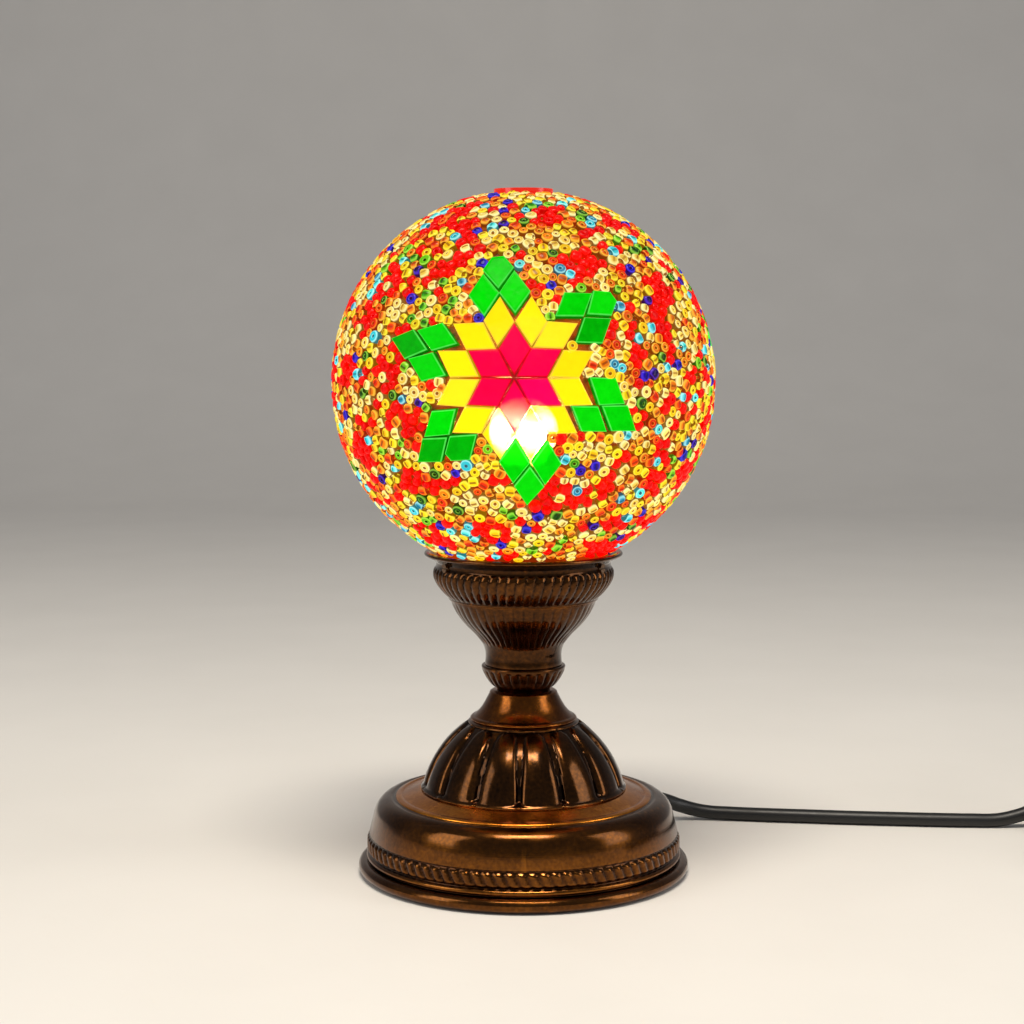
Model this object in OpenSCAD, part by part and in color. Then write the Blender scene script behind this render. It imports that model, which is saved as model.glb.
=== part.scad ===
// Mosaic glass table lamp. Millimetres, +Z up, origin on the lamp's axis at the underside of its
// felt pad. The front of the lamp, with the middle of one glass star, faces -Y.

/* [Foot] */
// Outer radius of the rolled edge around the foot
foot_r = 55.2; // [54.8:0.1:57]
// Outer radius of the drum at its ribbed band
drum_r = 52.2; // [51.8:0.1:52.6]
// Height of the drum's flat top
drum_h = 24.6; // [24.2:0.1:25]
// Radius of the rounded shoulder of the drum
shoulder_r = 6.4; // [5:0.1:7]
// Outer radius of the cove ring on the drum
ring_r = 42.8; // [42:0.1:43.2]
// Height of the cove ring's top
ring_top = 28; // [27.6:0.1:28.4]
// Thickness of the cast walls
wall = 2.6; // [2.2:0.1:3]

/* [Stem] */
// Radius of the fluted dome at its lip
dome_r = 34; // [33:0.1:35]
// Height of the fluted dome's flat top
dome_top = 51.2; // [50.5:0.1:52]
// Number of lobes around the dome
lobes = 14; // [10:1:18]
// Depth of the grooves between the lobes
lobe_depth = 1.6; // [0.8:0.1:1.8]
// Height of the neck cone's top
cone_top = 61.2; // [60.6:0.1:62]
// Height of the flared collar's top
collar_top = 69.6; // [69:0.1:70.2]
// Radius of the flared collar's edge
collar_r = 14; // [13.4:0.1:14.6]

/* [Cup] */
// Height of the bowl's rim
bowl_top = 91.6; // [91:0.1:92]
// Radius of the bowl's rim
bowl_r = 24.3; // [24:0.1:24.8]
// Height of the gallery ring's lip
cup_top = 107.6; // [107.4:0.1:107.9]
// Radius of the gallery ring's lip
lip_r = 32.9; // [32:0.1:34]

/* [Globe] */
// Outer radius of the blown glass
glass_r = 60; // [59.7:0.1:60.3]
// Thickness of the blown glass
glass_wall = 2.2; // [1.8:0.1:2.6]
// Height of the globe's centre
globe_z = 163; // [162.8:0.1:163.4]
// Thickness of the beads and tiles on the glass
bead_t = 2.95; // [2.6:0.05:3]
// Outer radius of the globe's lower neck
neck_r = 27; // [26.6:0.1:27.1]
// Outer radius of the short lip around the opening at the top
mouth_r = 9.6; // [9:0.1:12]
// Height of that lip's edge
lamp_h = 225.9; // [225:0.1:228]

/* [Star] */
// Side of one rhombic glass tile, with its share of the gap
tile = 10; // [9.6:0.05:10.2]
// Gap around each red or yellow tile
tile_gap = 0.5; // [0.3:0.05:0.8]
// Gap around each green tile
green_gap = 1; // [0.5:0.05:1.4]
// Number of stars around the globe
stars = 3; // [2:1:3]
// Turn of the front star away from -Y
star_turn = -2.5; // [-5:0.5:5]
// Height angle of each star's middle above the globe's centre
star_rise = 3.5; // [0:0.5:5]

/* [Bulb] */
// Radius of the bulb's glass
bulb_r = 11.5; // [10:0.1:12]
// Height of the bulb's centre
bulb_z = 147; // [145:0.5:148]
// Outer radius of the bulb's screw cap
cap_r = 7; // [6.8:0.05:7]
// Outer radius of the lampholder's sleeve
holder_r = 13.5; // [13.2:0.1:14]
// Height of the lampholder's rim
holder_top = 121.5; // [120:0.5:122]

/* [Cord] */
// Diameter of the mains cord
cord_d = 5; // [4.8:0.1:5.2]
// Direction in which the cord leaves the drum, from +X
exit_turn = 50; // [48:1:52]
// Height of the cord's exit
exit_z = 10.5; // [10:0.5:11]
// Length of the in-line switch
switch_l = 56; // [54:1:58]

/* [Hidden] */

$fn = 96;
e = 0.01;             // overshoot of a cutter past the face it opens

// Colours
bronze = [0.30, 0.20, 0.10];
brass = [0.78, 0.62, 0.30];
steel = [0.70, 0.71, 0.73];
black = [0.06, 0.06, 0.06];
cream = [0.93, 0.90, 0.80];
clear_glass = [0.95, 0.85, 0.6, 0.35];

// Rod and its clearances
rod_r = 5;
rod_bore_r = 3.5;
rod_low = 15;
rod_high = 86;
rod_hole_r = 5.2;
nut_flats = 14;
nut_h = 4;
washer_t = 1;

// Foot
pad_t = 1.5;
cover_t = 1.5;
cover_r = foot_r - 4.6;
roll_r = 2.3;
roll_gap = 0.3;       // the metal stays this far above the surface that the felt stands on
screw_ring_r = 41;
screw_turns = [110, 230, 350];
screw_r = 1.4;
screw_head_r = 2.8;
boss_r = 3.6;
drum_in_r = drum_r - 3.6;
drum_roof = drum_h - wall;

// Dome
front_groove = 267.4; // direction of the groove nearest the front

// Cup
bowl_floor = 75.5;
seat_z = 97.5;
gasket_t = 1;
neck_gap = 0.5;
grub_r = 1.5;
grub_z = 103.4;
grub_l = 2.4;
grub_turns = [90, 210, 330];

// Globe
globe_low = seat_z + gasket_t;
neck_top = globe_z - 54;   // the neck's tube ends just below the ball
mouth_low = globe_z + 56;
globe_gap = 0.05;     // the beads stand this far off the glass
skin_r = glass_r + globe_gap;
star_r = glass_r + 2.7;   // radius on which the flat star keeps its lengths
mouth_wall = 1.9;
bead_mouth_r = mouth_r + 0.6;

// Bulb and holder
contact_low = 101;
cap_low = 104;
cap_high = 121;
cap_wall = 0.4;
shell_r = 7.8;
shell_in_r = 7.3;
insert_low = 88;
insert_top = 98;
wire_r = 1;
wire_x = 1.5;
wire_low = 18;
terminal_z = 92;

// Cord: hand-laid routes, then the coil
cord_r = cord_d / 2;
floor_z = cord_r;
relief_end = 70;
exit_p = [relief_end * cos(exit_turn), relief_end * sin(exit_turn), exit_z];
switch_x = 217;
switch_y = 54;
switch_w = 21;
switch_h = 14;
switch_split = 6;
switch_screw_x = 23.5;
rocker_z = 10.4;
coil_c = [232, 2];
coil_mid_r = 28;
coil_low = 0.6;
coil_rows = 3;
tie_w = 8;
plug_face = 198;
plug_back = 232;
plug_y = -54;
plug_h = 13.7;
pin_gap = 19;
pin_l = 19;
pin_r = 2;
lead_route = [
    exit_p, [48, 57.2, 10], [52, 61, 8.2], [58, 64.2, 5.4], [66, 65, 3.2], [77, 64, floor_z],
    [90, 62, floor_z], [105, 60, floor_z], [120, 58, floor_z], [135, 56.4, floor_z],
    [150, 55, floor_z], [162, 54.2, floor_z], [172, 54, floor_z], [179, 54, 4.2], [185, 54, 6],
    [switch_x - switch_l / 2, switch_y, 6]
];
link_route = [
    [switch_x + switch_l / 2, switch_y, 6], [248.5, 54, 6], [254.5, 51.8, 5.2], [260, 47.4, 4.2],
    [263.6, 41.6, 3.5], [265, 34, 3.1], [265, 24, 3.1], [265, 13, 3.1], [265, 2, 3.1]
];
tail_route = [
    [265, 2, 13.1], [265, -8, 12.4], [264.4, -20, 9.8], [262, -32, 6.4], [257, -42, 4.4],
    [249.4, -49.6, 4.4], [240.6, -53.4, 5.8], [plug_back, plug_y, plug_h / 2]
];
inner_route = [
    [45.6 * cos(exit_turn), 45.6 * sin(exit_turn), exit_z],
    [34 * cos(exit_turn), 34 * sin(exit_turn), 9.6], [22 * cos(exit_turn), 22 * sin(exit_turn), 8.2],
    [13 * cos(exit_turn), 13 * sin(exit_turn), 7.6], [6 * cos(exit_turn), 6 * sin(exit_turn), 8.8],
    [1.8 * cos(exit_turn), 1.8 * sin(exit_turn), 12], [0, 0, 15.6], [0, 0, wire_low]
];

// Points on an arc of radius r around [x, y], from angle a to angle b
function arc(x, y, r, a, b, steps = 8) =
    [for (i = [0:steps]) [x + r * cos(a + (b - a) * i / steps), y + r * sin(a + (b - a) * i / steps)]];

// Radius of the dome's outline at height z: an arc whose middle lies just past the axis
dome_arc_r = norm([dome_r + 1.9, ring_top - 20]);
function dome_radius(z) = sqrt(pow(dome_arc_r, 2) - pow(z - 20, 2)) - 2;

// Depth of a lobed outline at angle a: round lobes that meet in narrow grooves
function lobe_cut(a, n) = 1 - pow(abs(sin(a * n / 2)), 0.7);

// A solid of revolution from an outline of [radius, height] points
module turned(points) {
    rotate_extrude() polygon(points);
}

// A tube of radius r swept along a route that never runs along up, with the given number of sides
function unit(v) = v / norm(v);
function heading(p, i) = unit(p[min(i + 1, len(p) - 1)] - p[max(i - 1, 0)]);
function swept_ring(p, t, r, sides, up) =
    let (side = unit(cross(t, up)))
    [for (k = [0:sides - 1]) p + r * (cos(360 * k / sides) * side
        + sin(360 * k / sides) * cross(side, t))];
module tube(route, r, sides = 10, up = [0, 0, 1]) {
    rings = len(route);
    points = [for (i = [0:rings - 1]) each swept_ring(route[i], heading(route, i), r, sides, up)];
    skins = [for (i = [0:rings - 2], k = [0:sides - 1]) let (m = (k + 1) % sides)
        [i * sides + k, i * sides + m, (i + 1) * sides + m, (i + 1) * sides + k]];
    low = [[for (k = [sides - 1:-1:0]) k]];
    high = [[for (k = [0:sides - 1]) (rings - 1) * sides + k]];
    polyhedron(points, concat(skins, low, high), convexity = 6);
}

// A rectangle with rounded corners, centred on the origin
module rounded_plate(l, w, h, r) {
    linear_extrude(h) union() {
        square([l - 2 * r, w], center = true);
        square([l, w - 2 * r], center = true);
        for (x = [-1, 1], y = [-1, 1]) translate([x * (l / 2 - r), y * (w / 2 - r)]) circle(r, $fn = 32);
    }
}

// ---- Foot ----

module felt_pad() {
    color([0.16, 0.10, 0.06]) cylinder(r = cover_r - 0.6, h = pad_t);
}

module at_cover_screws() {
    for (a = screw_turns) rotate([0, 0, a]) translate([screw_ring_r, 0, 0]) children();
}

module bottom_cover() {
    color(steel) difference() {
        translate([0, 0, pad_t]) cylinder(r = cover_r, h = cover_t);
        at_cover_screws() translate([0, 0, pad_t - e]) cylinder(r = screw_r + 0.2, h = cover_t + 2 * e);
        at_cover_screws() translate([0, 0, pad_t - e])
            cylinder(r1 = screw_head_r + 0.2, r2 = screw_r + 0.2, h = 1.3 + e);
    }
}

module cover_screws() {
    color(steel) at_cover_screws() {
        translate([0, 0, pad_t]) cylinder(r1 = screw_head_r, r2 = screw_r, h = 1.3);
        translate([0, 0, pad_t + 1.2]) cylinder(r = screw_r, h = 8.5);
    }
}

module base_drum() {
    low = pad_t + cover_t;
    roll_z = roll_gap + roll_r;
    outer = concat(
        [[cover_r + 0.2, roll_gap]],
        arc(foot_r - roll_r, roll_z, roll_r, -90, 90),
        [[drum_r - 0.2, 5.2], [drum_r + 0.5, 5.8], [drum_r + 0.5, 6.9], [drum_r - 0.3, 7.3]],
        [[drum_r, 8], [drum_r, 12], [drum_r - 0.5, 13]],
        arc(drum_r - 2.2 - shoulder_r, 19, shoulder_r, 0, 84),
        [[drum_r - 8.8, drum_h]]
    );
    inner = [
        [rod_hole_r, drum_h], [rod_hole_r, drum_roof], [drum_in_r - 5, drum_roof],
        [drum_in_r, drum_roof - 5], [drum_in_r, low], [cover_r + 0.2, low]
    ];
    color(bronze) difference() {
        union() {
            turned(concat(outer, inner));
            at_cover_screws() translate([0, 0, low]) cylinder(r = boss_r, h = drum_roof - low + 1);
        }
        at_cover_screws() translate([0, 0, low - e]) cylinder(r = screw_r + 0.05, h = 10);
        rotate([0, 0, exit_turn]) translate([drum_in_r - 4, 0, exit_z]) rotate([0, 90, 0])
            cylinder(r = 4.05, h = 12);
    }
}

module cove_ring() {
    color([0.62, 0.42, 0.16]) turned(concat(
        [[30, drum_h], [ring_r - 0.3, drum_h], [ring_r, drum_h + 0.6], [ring_r - 0.6, drum_h + 1.4]],
        [[39, drum_h + 1.9], [36.4, drum_h + 2.5], [34.8, ring_top], [30, ring_top]]
    ));
}

// ---- Stem ----

module fluted_dome() {
    steps = lobes * 8;
    levels = [0, 0.05, 0.1, 0.25, 0.4, 0.55, 0.7, 0.85, 1];
    lip = [1, 1, 0, 0, 0, 0, 0, 0, 0];
    rings = len(levels);
    points = [for (i = [0:rings - 1], k = [0:steps - 1])
        let (
            z = ring_top + levels[i] * (dome_top - ring_top),
            a = 360 * k / steps,
            cut = lobe_depth * lobe_cut(a, lobes) * (1 - 0.5 * levels[i]) * (1 - lip[i]),
            r = dome_radius(z) + 0.3 * lip[i] - cut
        )
        [r * cos(a), r * sin(a), z]];
    skins = [for (i = [0:rings - 2], k = [0:steps - 1]) let (m = (k + 1) % steps)
        [i * steps + k, (i + 1) * steps + k, (i + 1) * steps + m, i * steps + m]];
    low = [[for (k = [0:steps - 1]) k]];
    high = [[for (k = [steps - 1:-1:0]) (rings - 1) * steps + k]];
    hollow = [
        [0, ring_top - e], [dome_r - 4.4, ring_top - e], [dome_radius(37) - 3.6, 37],
        [dome_radius(44) - 4, 44], [14, dome_top - 3.4], [0, dome_top - 3.4]
    ];
    color(bronze) rotate([0, 0, front_groove]) difference() {
        polyhedron(points, concat(skins, low, high), convexity = 6);
        turned(hollow);
        cylinder(r = rod_hole_r, h = dome_top + 1);
    }
}

module neck_cone() {
    color([0.50, 0.36, 0.18]) turned([
        [rod_hole_r, dome_top], [17.8, dome_top], [17.8, dome_top + 0.7], [16.4, dome_top + 1.4],
        [14.2, dome_top + 3.6], [12.6, dome_top + 6.2], [11.4, dome_top + 8.8], [11.2, cone_top - 0.6],
        [10.2, cone_top], [rod_hole_r, cone_top]
    ]);
}

module collar() {
    color(bronze) turned([
        [rod_hole_r, cone_top], [8.8, cone_top], [10.2, cone_top + 1.3], [12, cone_top + 3.6],
        [13.3, cone_top + 5.8], [collar_r, cone_top + 7.4], [collar_r, collar_top - 0.3],
        [collar_r - 0.4, collar_top], [rod_hole_r, collar_top]
    ]);
}

// ---- Cup ----

module cup_bowl() {
    outer = [
        [12.9, collar_top], [12.6, 72], [12.7, 74.3], [13.4, 76.4], [14.5, 78], [16.4, 80.3],
        [18.6, 82.4], [20.6, 84.6], [22.3, 87], [23.5, 89.4], [bowl_r, bowl_top]
    ];
    inner = [
        [bowl_r - 2.2, bowl_top], [bowl_r - 3, 89.6], [18.2, 84.8], [14, 81], [10.8, 77.4],
        [10.4, bowl_floor], [rod_hole_r, bowl_floor]
    ];
    color(bronze) turned(concat([[rod_hole_r, collar_top]], outer, inner));
}

module at_grub_screw(turn) {
    rotate([0, 0, turn]) translate([neck_r + 0.4, 0, grub_z]) rotate([0, 90, 0]) children();
}

module gallery_ring() {
    outer = [
        [bowl_r + 0.6, bowl_top], [bowl_r + 0.6, bowl_top + 0.8], [27, 94.4], [28.8, 96.8],
        [29.8, 99], [29.8, 101], [29.3, 102.4], [29.3, 104.4], [30.6, 105.4],
        [lip_r - 0.3, cup_top - 1.4], [lip_r, cup_top - 0.9], [lip_r - 0.3, cup_top - 0.2]
    ];
    inner = [
        [lip_r - 1, cup_top], [lip_r - 2.1, cup_top - 0.2], [neck_r + 1.4, 104.6],
        [neck_r + neck_gap, 103.9], [neck_r + neck_gap, seat_z], [21.5, seat_z], [21.5, bowl_top]
    ];
    color(bronze) difference() {
        turned(concat(outer, inner));
        for (a = grub_turns) at_grub_screw(a) cylinder(r = grub_r + 0.05, h = 8);
    }
}

module seat_gasket() {
    color(black) translate([0, 0, seat_z]) difference() {
        cylinder(r = neck_r, h = gasket_t);
        translate([0, 0, -e]) cylinder(r = 22.5, h = gasket_t + 2 * e);
    }
}

// One set screw: thread, with a slot across its outer end
module grub_screw(turn) {
    color(bronze) at_grub_screw(turn) difference() {
        cylinder(r = grub_r, h = grub_l);
        translate([-0.25, -grub_r, grub_l - 0.6]) cube([0.5, 2 * grub_r, 1]);
    }
}
module grub_screw_1() { grub_screw(grub_turns[0]); }
module grub_screw_2() { grub_screw(grub_turns[1]); }
module grub_screw_3() { grub_screw(grub_turns[2]); }

// ---- Rod and wiring ----

module threaded_rod() {
    color(steel) translate([0, 0, rod_low]) difference() {
        cylinder(r = rod_r, h = rod_high - rod_low);
        translate([0, 0, -e]) cylinder(r = rod_bore_r, h = rod_high - rod_low + 2 * e);
    }
}

module rod_washers() {
    color(steel) for (z = [drum_roof - washer_t, bowl_floor]) translate([0, 0, z]) difference() {
        cylinder(r = 9.5, h = washer_t);
        translate([0, 0, -e]) cylinder(r = rod_hole_r, h = washer_t + 2 * e);
    }
}

module rod_nuts() {
    color(steel) for (z = [drum_roof - washer_t - nut_h, bowl_floor + washer_t]) translate([0, 0, z])
        difference() {
            cylinder(r = nut_flats / 2 / cos(30), h = nut_h, $fn = 6);
            translate([0, 0, -e]) cylinder(r = rod_r + 0.05, h = nut_h + 2 * e);
        }
}

module strain_relief() {
    color(black) rotate([0, 0, exit_turn]) translate([0, 0, exit_z]) rotate([0, 90, 0]) difference() {
        union() {
            translate([0, 0, 45.6]) cylinder(r = 5, h = 2.4);
            translate([0, 0, 47]) cylinder(r = 4, h = 7);
            translate([0, 0, 53]) cylinder(r = 5, h = 2);
            translate([0, 0, 55 - e]) cylinder(r1 = 4.6, r2 = 3.2, h = relief_end - 55 + e);
        }
        translate([0, 0, 56]) rotate_extrude() for (i = [0:3])
            translate([4.7 - 0.32 * i, 1.6 + 3 * i]) square([1, 1]);
    }
}

module inner_lead() {
    color(black) tube(inner_route, cord_r, 8, [-sin(exit_turn), cos(exit_turn), 0]);
}

module core_wire(x, tint) {
    color(tint) translate([x, 0, wire_low])
        cylinder(r = wire_r, h = terminal_z + 1.6 - wire_low, $fn = 24);
}
module live_wire() { core_wire(wire_x, [0.45, 0.22, 0.08]); }
module neutral_wire() { core_wire(-wire_x, [0.10, 0.25, 0.65]); }

// ---- Lampholder ----

module holder_cap() {
    color(black) turned([
        [rod_r + 0.05, 80.9], [8.4, 80.9], [8.4, 83.4], [holder_r, 86.2], [holder_r, insert_low],
        [holder_r - 1.7, insert_low], [holder_r - 1.7, 87.2], [rod_r + 0.05, 86.4]
    ]);
}

module holder_sleeve() {
    color(black) turned([
        [holder_r - 1.6, insert_low], [holder_r, insert_low], [holder_r, holder_top - 0.8],
        [holder_r - 0.8, holder_top], [holder_r - 1.6, holder_top]
    ]);
}

module terminal(side, r_shaft, r_head) {
    rotate([0, 90 * side, 0]) {
        translate([0, 0, wire_x + wire_r]) cylinder(r = r_shaft, h = 6.5, $fn = 32);
        translate([0, 0, 8]) cylinder(r = r_head, h = 1.5, $fn = 32);
    }
}

module holder_insert() {
    color(cream) difference() {
        translate([0, 0, insert_low]) cylinder(r = holder_r - 1.8, h = insert_top - insert_low);
        for (s = [-1, 1]) {
            translate([s * wire_x, 0, insert_low - e]) cylinder(r = wire_r + 0.1, h = 6, $fn = 24);
            translate([0, 0, terminal_z]) terminal(s, 1.35, 2.15);
            translate([s * 9, 0, terminal_z]) rotate([0, 90 * s, 0]) cylinder(r = 2.15, h = 4, $fn = 32);
        }
    }
}

module terminal_screws() {
    color(brass) for (s = [-1, 1]) translate([0, 0, terminal_z]) terminal(s, 1.25, 2);
}

module holder_thread_shell() {
    color(brass) translate([0, 0, insert_top]) difference() {
        cylinder(r = shell_r, h = 20);
        translate([0, 0, -e]) cylinder(r = shell_in_r, h = 20 + 2 * e);
    }
}

module holder_contact() {
    color(brass) translate([0, 0, insert_top]) {
        cylinder(r = 3.4, h = 0.8);
        translate([0, 0, 0.8 - e]) cylinder(r1 = 3, r2 = 2, h = 2 + e);
    }
}

// ---- Globe ----

// The whole blown glass, with its lower neck and upper mouth
module blown_glass() {
    difference() {
        union() {
            translate([0, 0, globe_z]) sphere(glass_r, $fn = 160);
            translate([0, 0, globe_low]) cylinder(r = neck_r, h = 30);
            translate([0, 0, globe_z]) cylinder(r = mouth_r, h = lamp_h - globe_z);
        }
        translate([0, 0, globe_z]) sphere(glass_r - glass_wall, $fn = 160);
        translate([0, 0, globe_low - e]) cylinder(r = neck_r - 2, h = 31);
        translate([0, 0, globe_z]) cylinder(r = mouth_r - mouth_wall, h = lamp_h);
    }
}

// The glass in three solids that meet face to face: the ball, its lower neck and its upper mouth
module glass_band(low, high) {
    color(clear_glass) intersection() {
        blown_glass();
        translate([0, 0, low]) cylinder(r = glass_r + 5, h = high - low);
    }
}
module glass_globe() { glass_band(neck_top, mouth_low); }
module globe_neck() { glass_band(0, neck_top); }
module globe_mouth() { glass_band(mouth_low, lamp_h + 1); }

// Places children over one rhombus of the star: colour group, arm and place in the arm. The flat
// pattern is wrapped on the globe so that distances from the star's middle keep their length.
function arm_dir(a) = [cos(a), sin(a)];
function half_long() = tile * sqrt(3) / 2;
function red_places(a) = [half_long() * arm_dir(a)];
function yellow_places(a) = [for (s = [-30, 30]) tile * arm_dir(a + s) + half_long() * arm_dir(a)];
function green_places(a) =
    let (side = tile * arm_dir(a + 30) + half_long() * arm_dir(a))
    [for (step = [tile * arm_dir(a + 30), tile * arm_dir(a - 30), 2 * half_long() * arm_dir(a)])
        side + step];

module on_star(turn, place) {
    way = atan2(place[1], place[0]);
    lean = norm(place) / star_r * 180 / PI;
    translate([0, 0, globe_z]) rotate([0, 0, turn]) rotate([90 - star_rise, 0, 0])
        rotate([0, 0, way]) rotate([0, lean, 0]) rotate([0, 0, -way]) children();
}

module rhombus_post(a, gap) {
    long = half_long() - gap;
    short = tile / 2 - gap / sqrt(3);
    rotate([0, 0, a]) translate([0, 0, glass_r - 4]) linear_extrude(10)
        polygon([[long, 0], [0, short], [-long, 0], [0, -short]]);
}

module star_posts(group, gap) {
    for (k = [0:stars - 1], a = [90:60:390]) {
        places = group == "red" ? red_places(a)
            : group == "yellow" ? yellow_places(a)
            : green_places(a);
        for (p = places) on_star(star_turn + 360 / stars * k, p) rhombus_post(a, gap);
    }
}

module skin(low_r, high_r) {
    translate([0, 0, globe_z]) difference() {
        sphere(high_r, $fn = 160);
        sphere(low_r, $fn = 160);
    }
}

module tiles(group) {
    intersection() {
        skin(skin_r, skin_r + bead_t - 0.2);
        star_posts(group, group == "green" ? green_gap : tile_gap);
    }
}
module tiles_red() { color([0.80, 0.05, 0.15]) tiles("red"); }
module tiles_yellow() { color([0.95, 0.80, 0.10]) tiles("yellow"); }
module tiles_green() { color([0.10, 0.60, 0.20]) tiles("green"); }

module bead_layer() {
    color([0.95, 0.75, 0.30]) difference() {
        skin(skin_r, skin_r + bead_t);
        for (group = ["red", "yellow", "green"]) star_posts(group, -0.5);
        cylinder(r = neck_r + 0.4, h = globe_z);
        translate([0, 0, globe_z]) cylinder(r = bead_mouth_r, h = glass_r + 10);
    }
}

// ---- Bulb ----

module bulb_contact() {
    color(steel) turned([
        [0, contact_low], [1.6, contact_low + 0.3], [2.4, contact_low + 1], [0, contact_low + 1]
    ]);
}

module bulb_insulator() {
    color(black) turned([
        [0, contact_low + 1], [3, contact_low + 1], [cap_r - 0.6, cap_low - e], [cap_r - 0.6, cap_low],
        [0, cap_low]
    ]);
}

module bulb_cap() {
    color(brass) turned([
        [cap_r - 1, cap_low], [cap_r - 0.3, cap_low], [cap_r, cap_low + 0.6], [cap_r, cap_high - 3],
        [cap_r + 0.2, cap_high - 0.4], [cap_r + 0.2, cap_high], [cap_r - cap_wall, cap_high],
        [cap_r - cap_wall, cap_low + 1], [cap_r - 1, cap_low + 1]
    ]);
}

module bulb_glass() {
    thick = 0.7;
    color([1, 0.95, 0.8, 0.5]) turned(concat(
        [[5.4, cap_low + 4], [6.4, cap_low + 4], [6.4, cap_high + 1], [7.2, bulb_z - 20]],
        arc(0, bulb_z, bulb_r, -46, 90, 16),
        arc(0, bulb_z, bulb_r - thick, 90, -46, 16),
        [[7.2 - thick, bulb_z - 20], [5.4, cap_high + 1]]
    ));
}

module bulb_stem() {
    color([1, 1, 1, 0.6]) turned([
        [0, cap_low + 5], [5, cap_low + 5], [5, cap_low + 6], [2, cap_low + 12], [1.6, bulb_z - 12],
        [0, bulb_z - 12]
    ]);
}

module bulb_filament() {
    color(steel) {
        for (s = [-1, 1]) translate([s * 1.1, 0, bulb_z - 12]) rotate([0, s * 26, 0])
            cylinder(r = 0.25, h = 12, $fn = 16);
        translate([-6.6, 0, bulb_z - 1.4]) rotate([0, 90, 0]) cylinder(r = 0.5, h = 13.2, $fn = 16);
    }
}

// ---- Cord, switch and plug ----

module cord_lead() {
    color(black) tube(lead_route, cord_r);
}

module cord_link() {
    color(black) tube(link_route, cord_r);
}

module cord_tail() {
    color(black) tube(tail_route, cord_r);
}

module cord_coil() {
    half = coil_rows * cord_d / 2;
    top = coil_low + coil_rows * cord_d;
    b = cord_r;
    in_r = coil_mid_r - half;
    out_r = coil_mid_r + half;
    color(black) translate([coil_c[0], coil_c[1], 0]) turned([
        [in_r, coil_low + b], [in_r + b / 2, coil_low], [out_r - b / 2, coil_low], [out_r, coil_low + b],
        [out_r, top - b], [out_r - b / 2, top], [in_r + b / 2, top], [in_r, top - b]
    ]);
}

module coil_tie() {
    half = coil_rows * cord_d / 2;
    strap = 0.6;
    color([0.20, 0.20, 0.22]) translate([coil_c[0] - coil_mid_r, coil_c[1], 0]) difference() {
        translate([-half - 0.1 - strap, -tie_w / 2, 0])
            cube([2 * half + 0.7 + 2 * strap, tie_w, coil_rows * cord_d + 2 * strap]);
        translate([-half - 0.1, -tie_w, strap]) cube([2 * half + 0.7, 2 * tie_w, coil_rows * cord_d]);
    }
}

module switch_outline(h) {
    rounded_plate(switch_l, switch_w, h, 4);
}

module switch_lower() {
    color(black) translate([switch_x, switch_y, 0]) difference() {
        switch_outline(switch_split);
        translate([0, 0, 1.5]) rounded_plate(switch_l - 14, switch_w - 3.2, switch_split, 2);
        for (s = [-1, 1]) translate([s * switch_screw_x, 0, -e]) {
            cylinder(r = 1.1, h = switch_split + 2 * e, $fn = 32);
            cylinder(r = 2.1, h = 1.6, $fn = 32);
        }
    }
}

module switch_upper() {
    color(black) translate([switch_x, switch_y, switch_split]) difference() {
        union() {
            difference() {
                switch_outline(switch_h - switch_split);
                translate([0, 0, -e])
                    rounded_plate(switch_l - 14, switch_w - 3.2, switch_h - switch_split - 1.6, 2);
            }
            for (s = [-1, 1]) translate([-2.8, s * 7.4 - 1.3, 2]) cube([5.6, 2.6, 5]);
        }
        translate([-9.4, -5.8, 2]) cube([18.8, 11.6, switch_h]);
        translate([0, 0, rocker_z - switch_split]) rotate([90, 0, 0])
            cylinder(r = 1.27, h = 16.6, center = true, $fn = 32);
        for (s = [-1, 1]) translate([s * switch_screw_x, 0, -e]) cylinder(r = 1.05, h = 4, $fn = 32);
    }
}

module switch_screws() {
    color(steel) for (s = [-1, 1]) translate([switch_x + s * switch_screw_x, switch_y, 0.2]) {
        cylinder(r = 2, h = 1.3, $fn = 32);
        cylinder(r = 1, h = 9, $fn = 32);
    }
}

module switch_contacts() {
    color(brass) for (s = [-1, 1]) translate([switch_x + s * 9, switch_y, 2.1])
        cube([10, 5, 1.2], center = true);
}

// The rocker rests tilted one way and turns by twice that tilt to its other side
module switch_rocker() {
    color([0.12, 0.12, 0.12]) translate([switch_x, switch_y, rocker_z]) rotate([90, 0, 0]) {
        rotate([0, 0, -10]) linear_extrude(10.8, center = true)
            polygon([[-8.2, 1.8], [-8.2, 4.4], [0, 3], [8.2, 4.4], [8.2, 1.8], [2.4, -2.4], [-2.4, -2.4]]);
        cylinder(r = 1.2, h = 15.6, center = true, $fn = 32);
    }
}

module plug_body() {
    color(black) translate([0, plug_y, 0]) linear_extrude(plug_h) polygon([
        [plug_face, -15], [plug_face + 2, -17], [plug_face + 11, -17], [plug_face + 17, -13],
        [plug_back - 8, -6], [plug_back, -5], [plug_back, 5], [plug_back - 8, 6], [plug_face + 17, 13],
        [plug_face + 11, 17], [plug_face + 2, 17], [plug_face, 15]
    ]);
}

module plug_pins() {
    color(steel) for (s = [-1, 1]) translate([plug_face, plug_y + s * pin_gap / 2, plug_h / 2])
        rotate([0, -90, 0]) {
            cylinder(r = pin_r, h = pin_l - 1, $fn = 32);
            translate([0, 0, pin_l - 1 - e]) cylinder(r1 = pin_r, r2 = 1.2, h = 1 + e, $fn = 32);
        }
}

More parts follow.
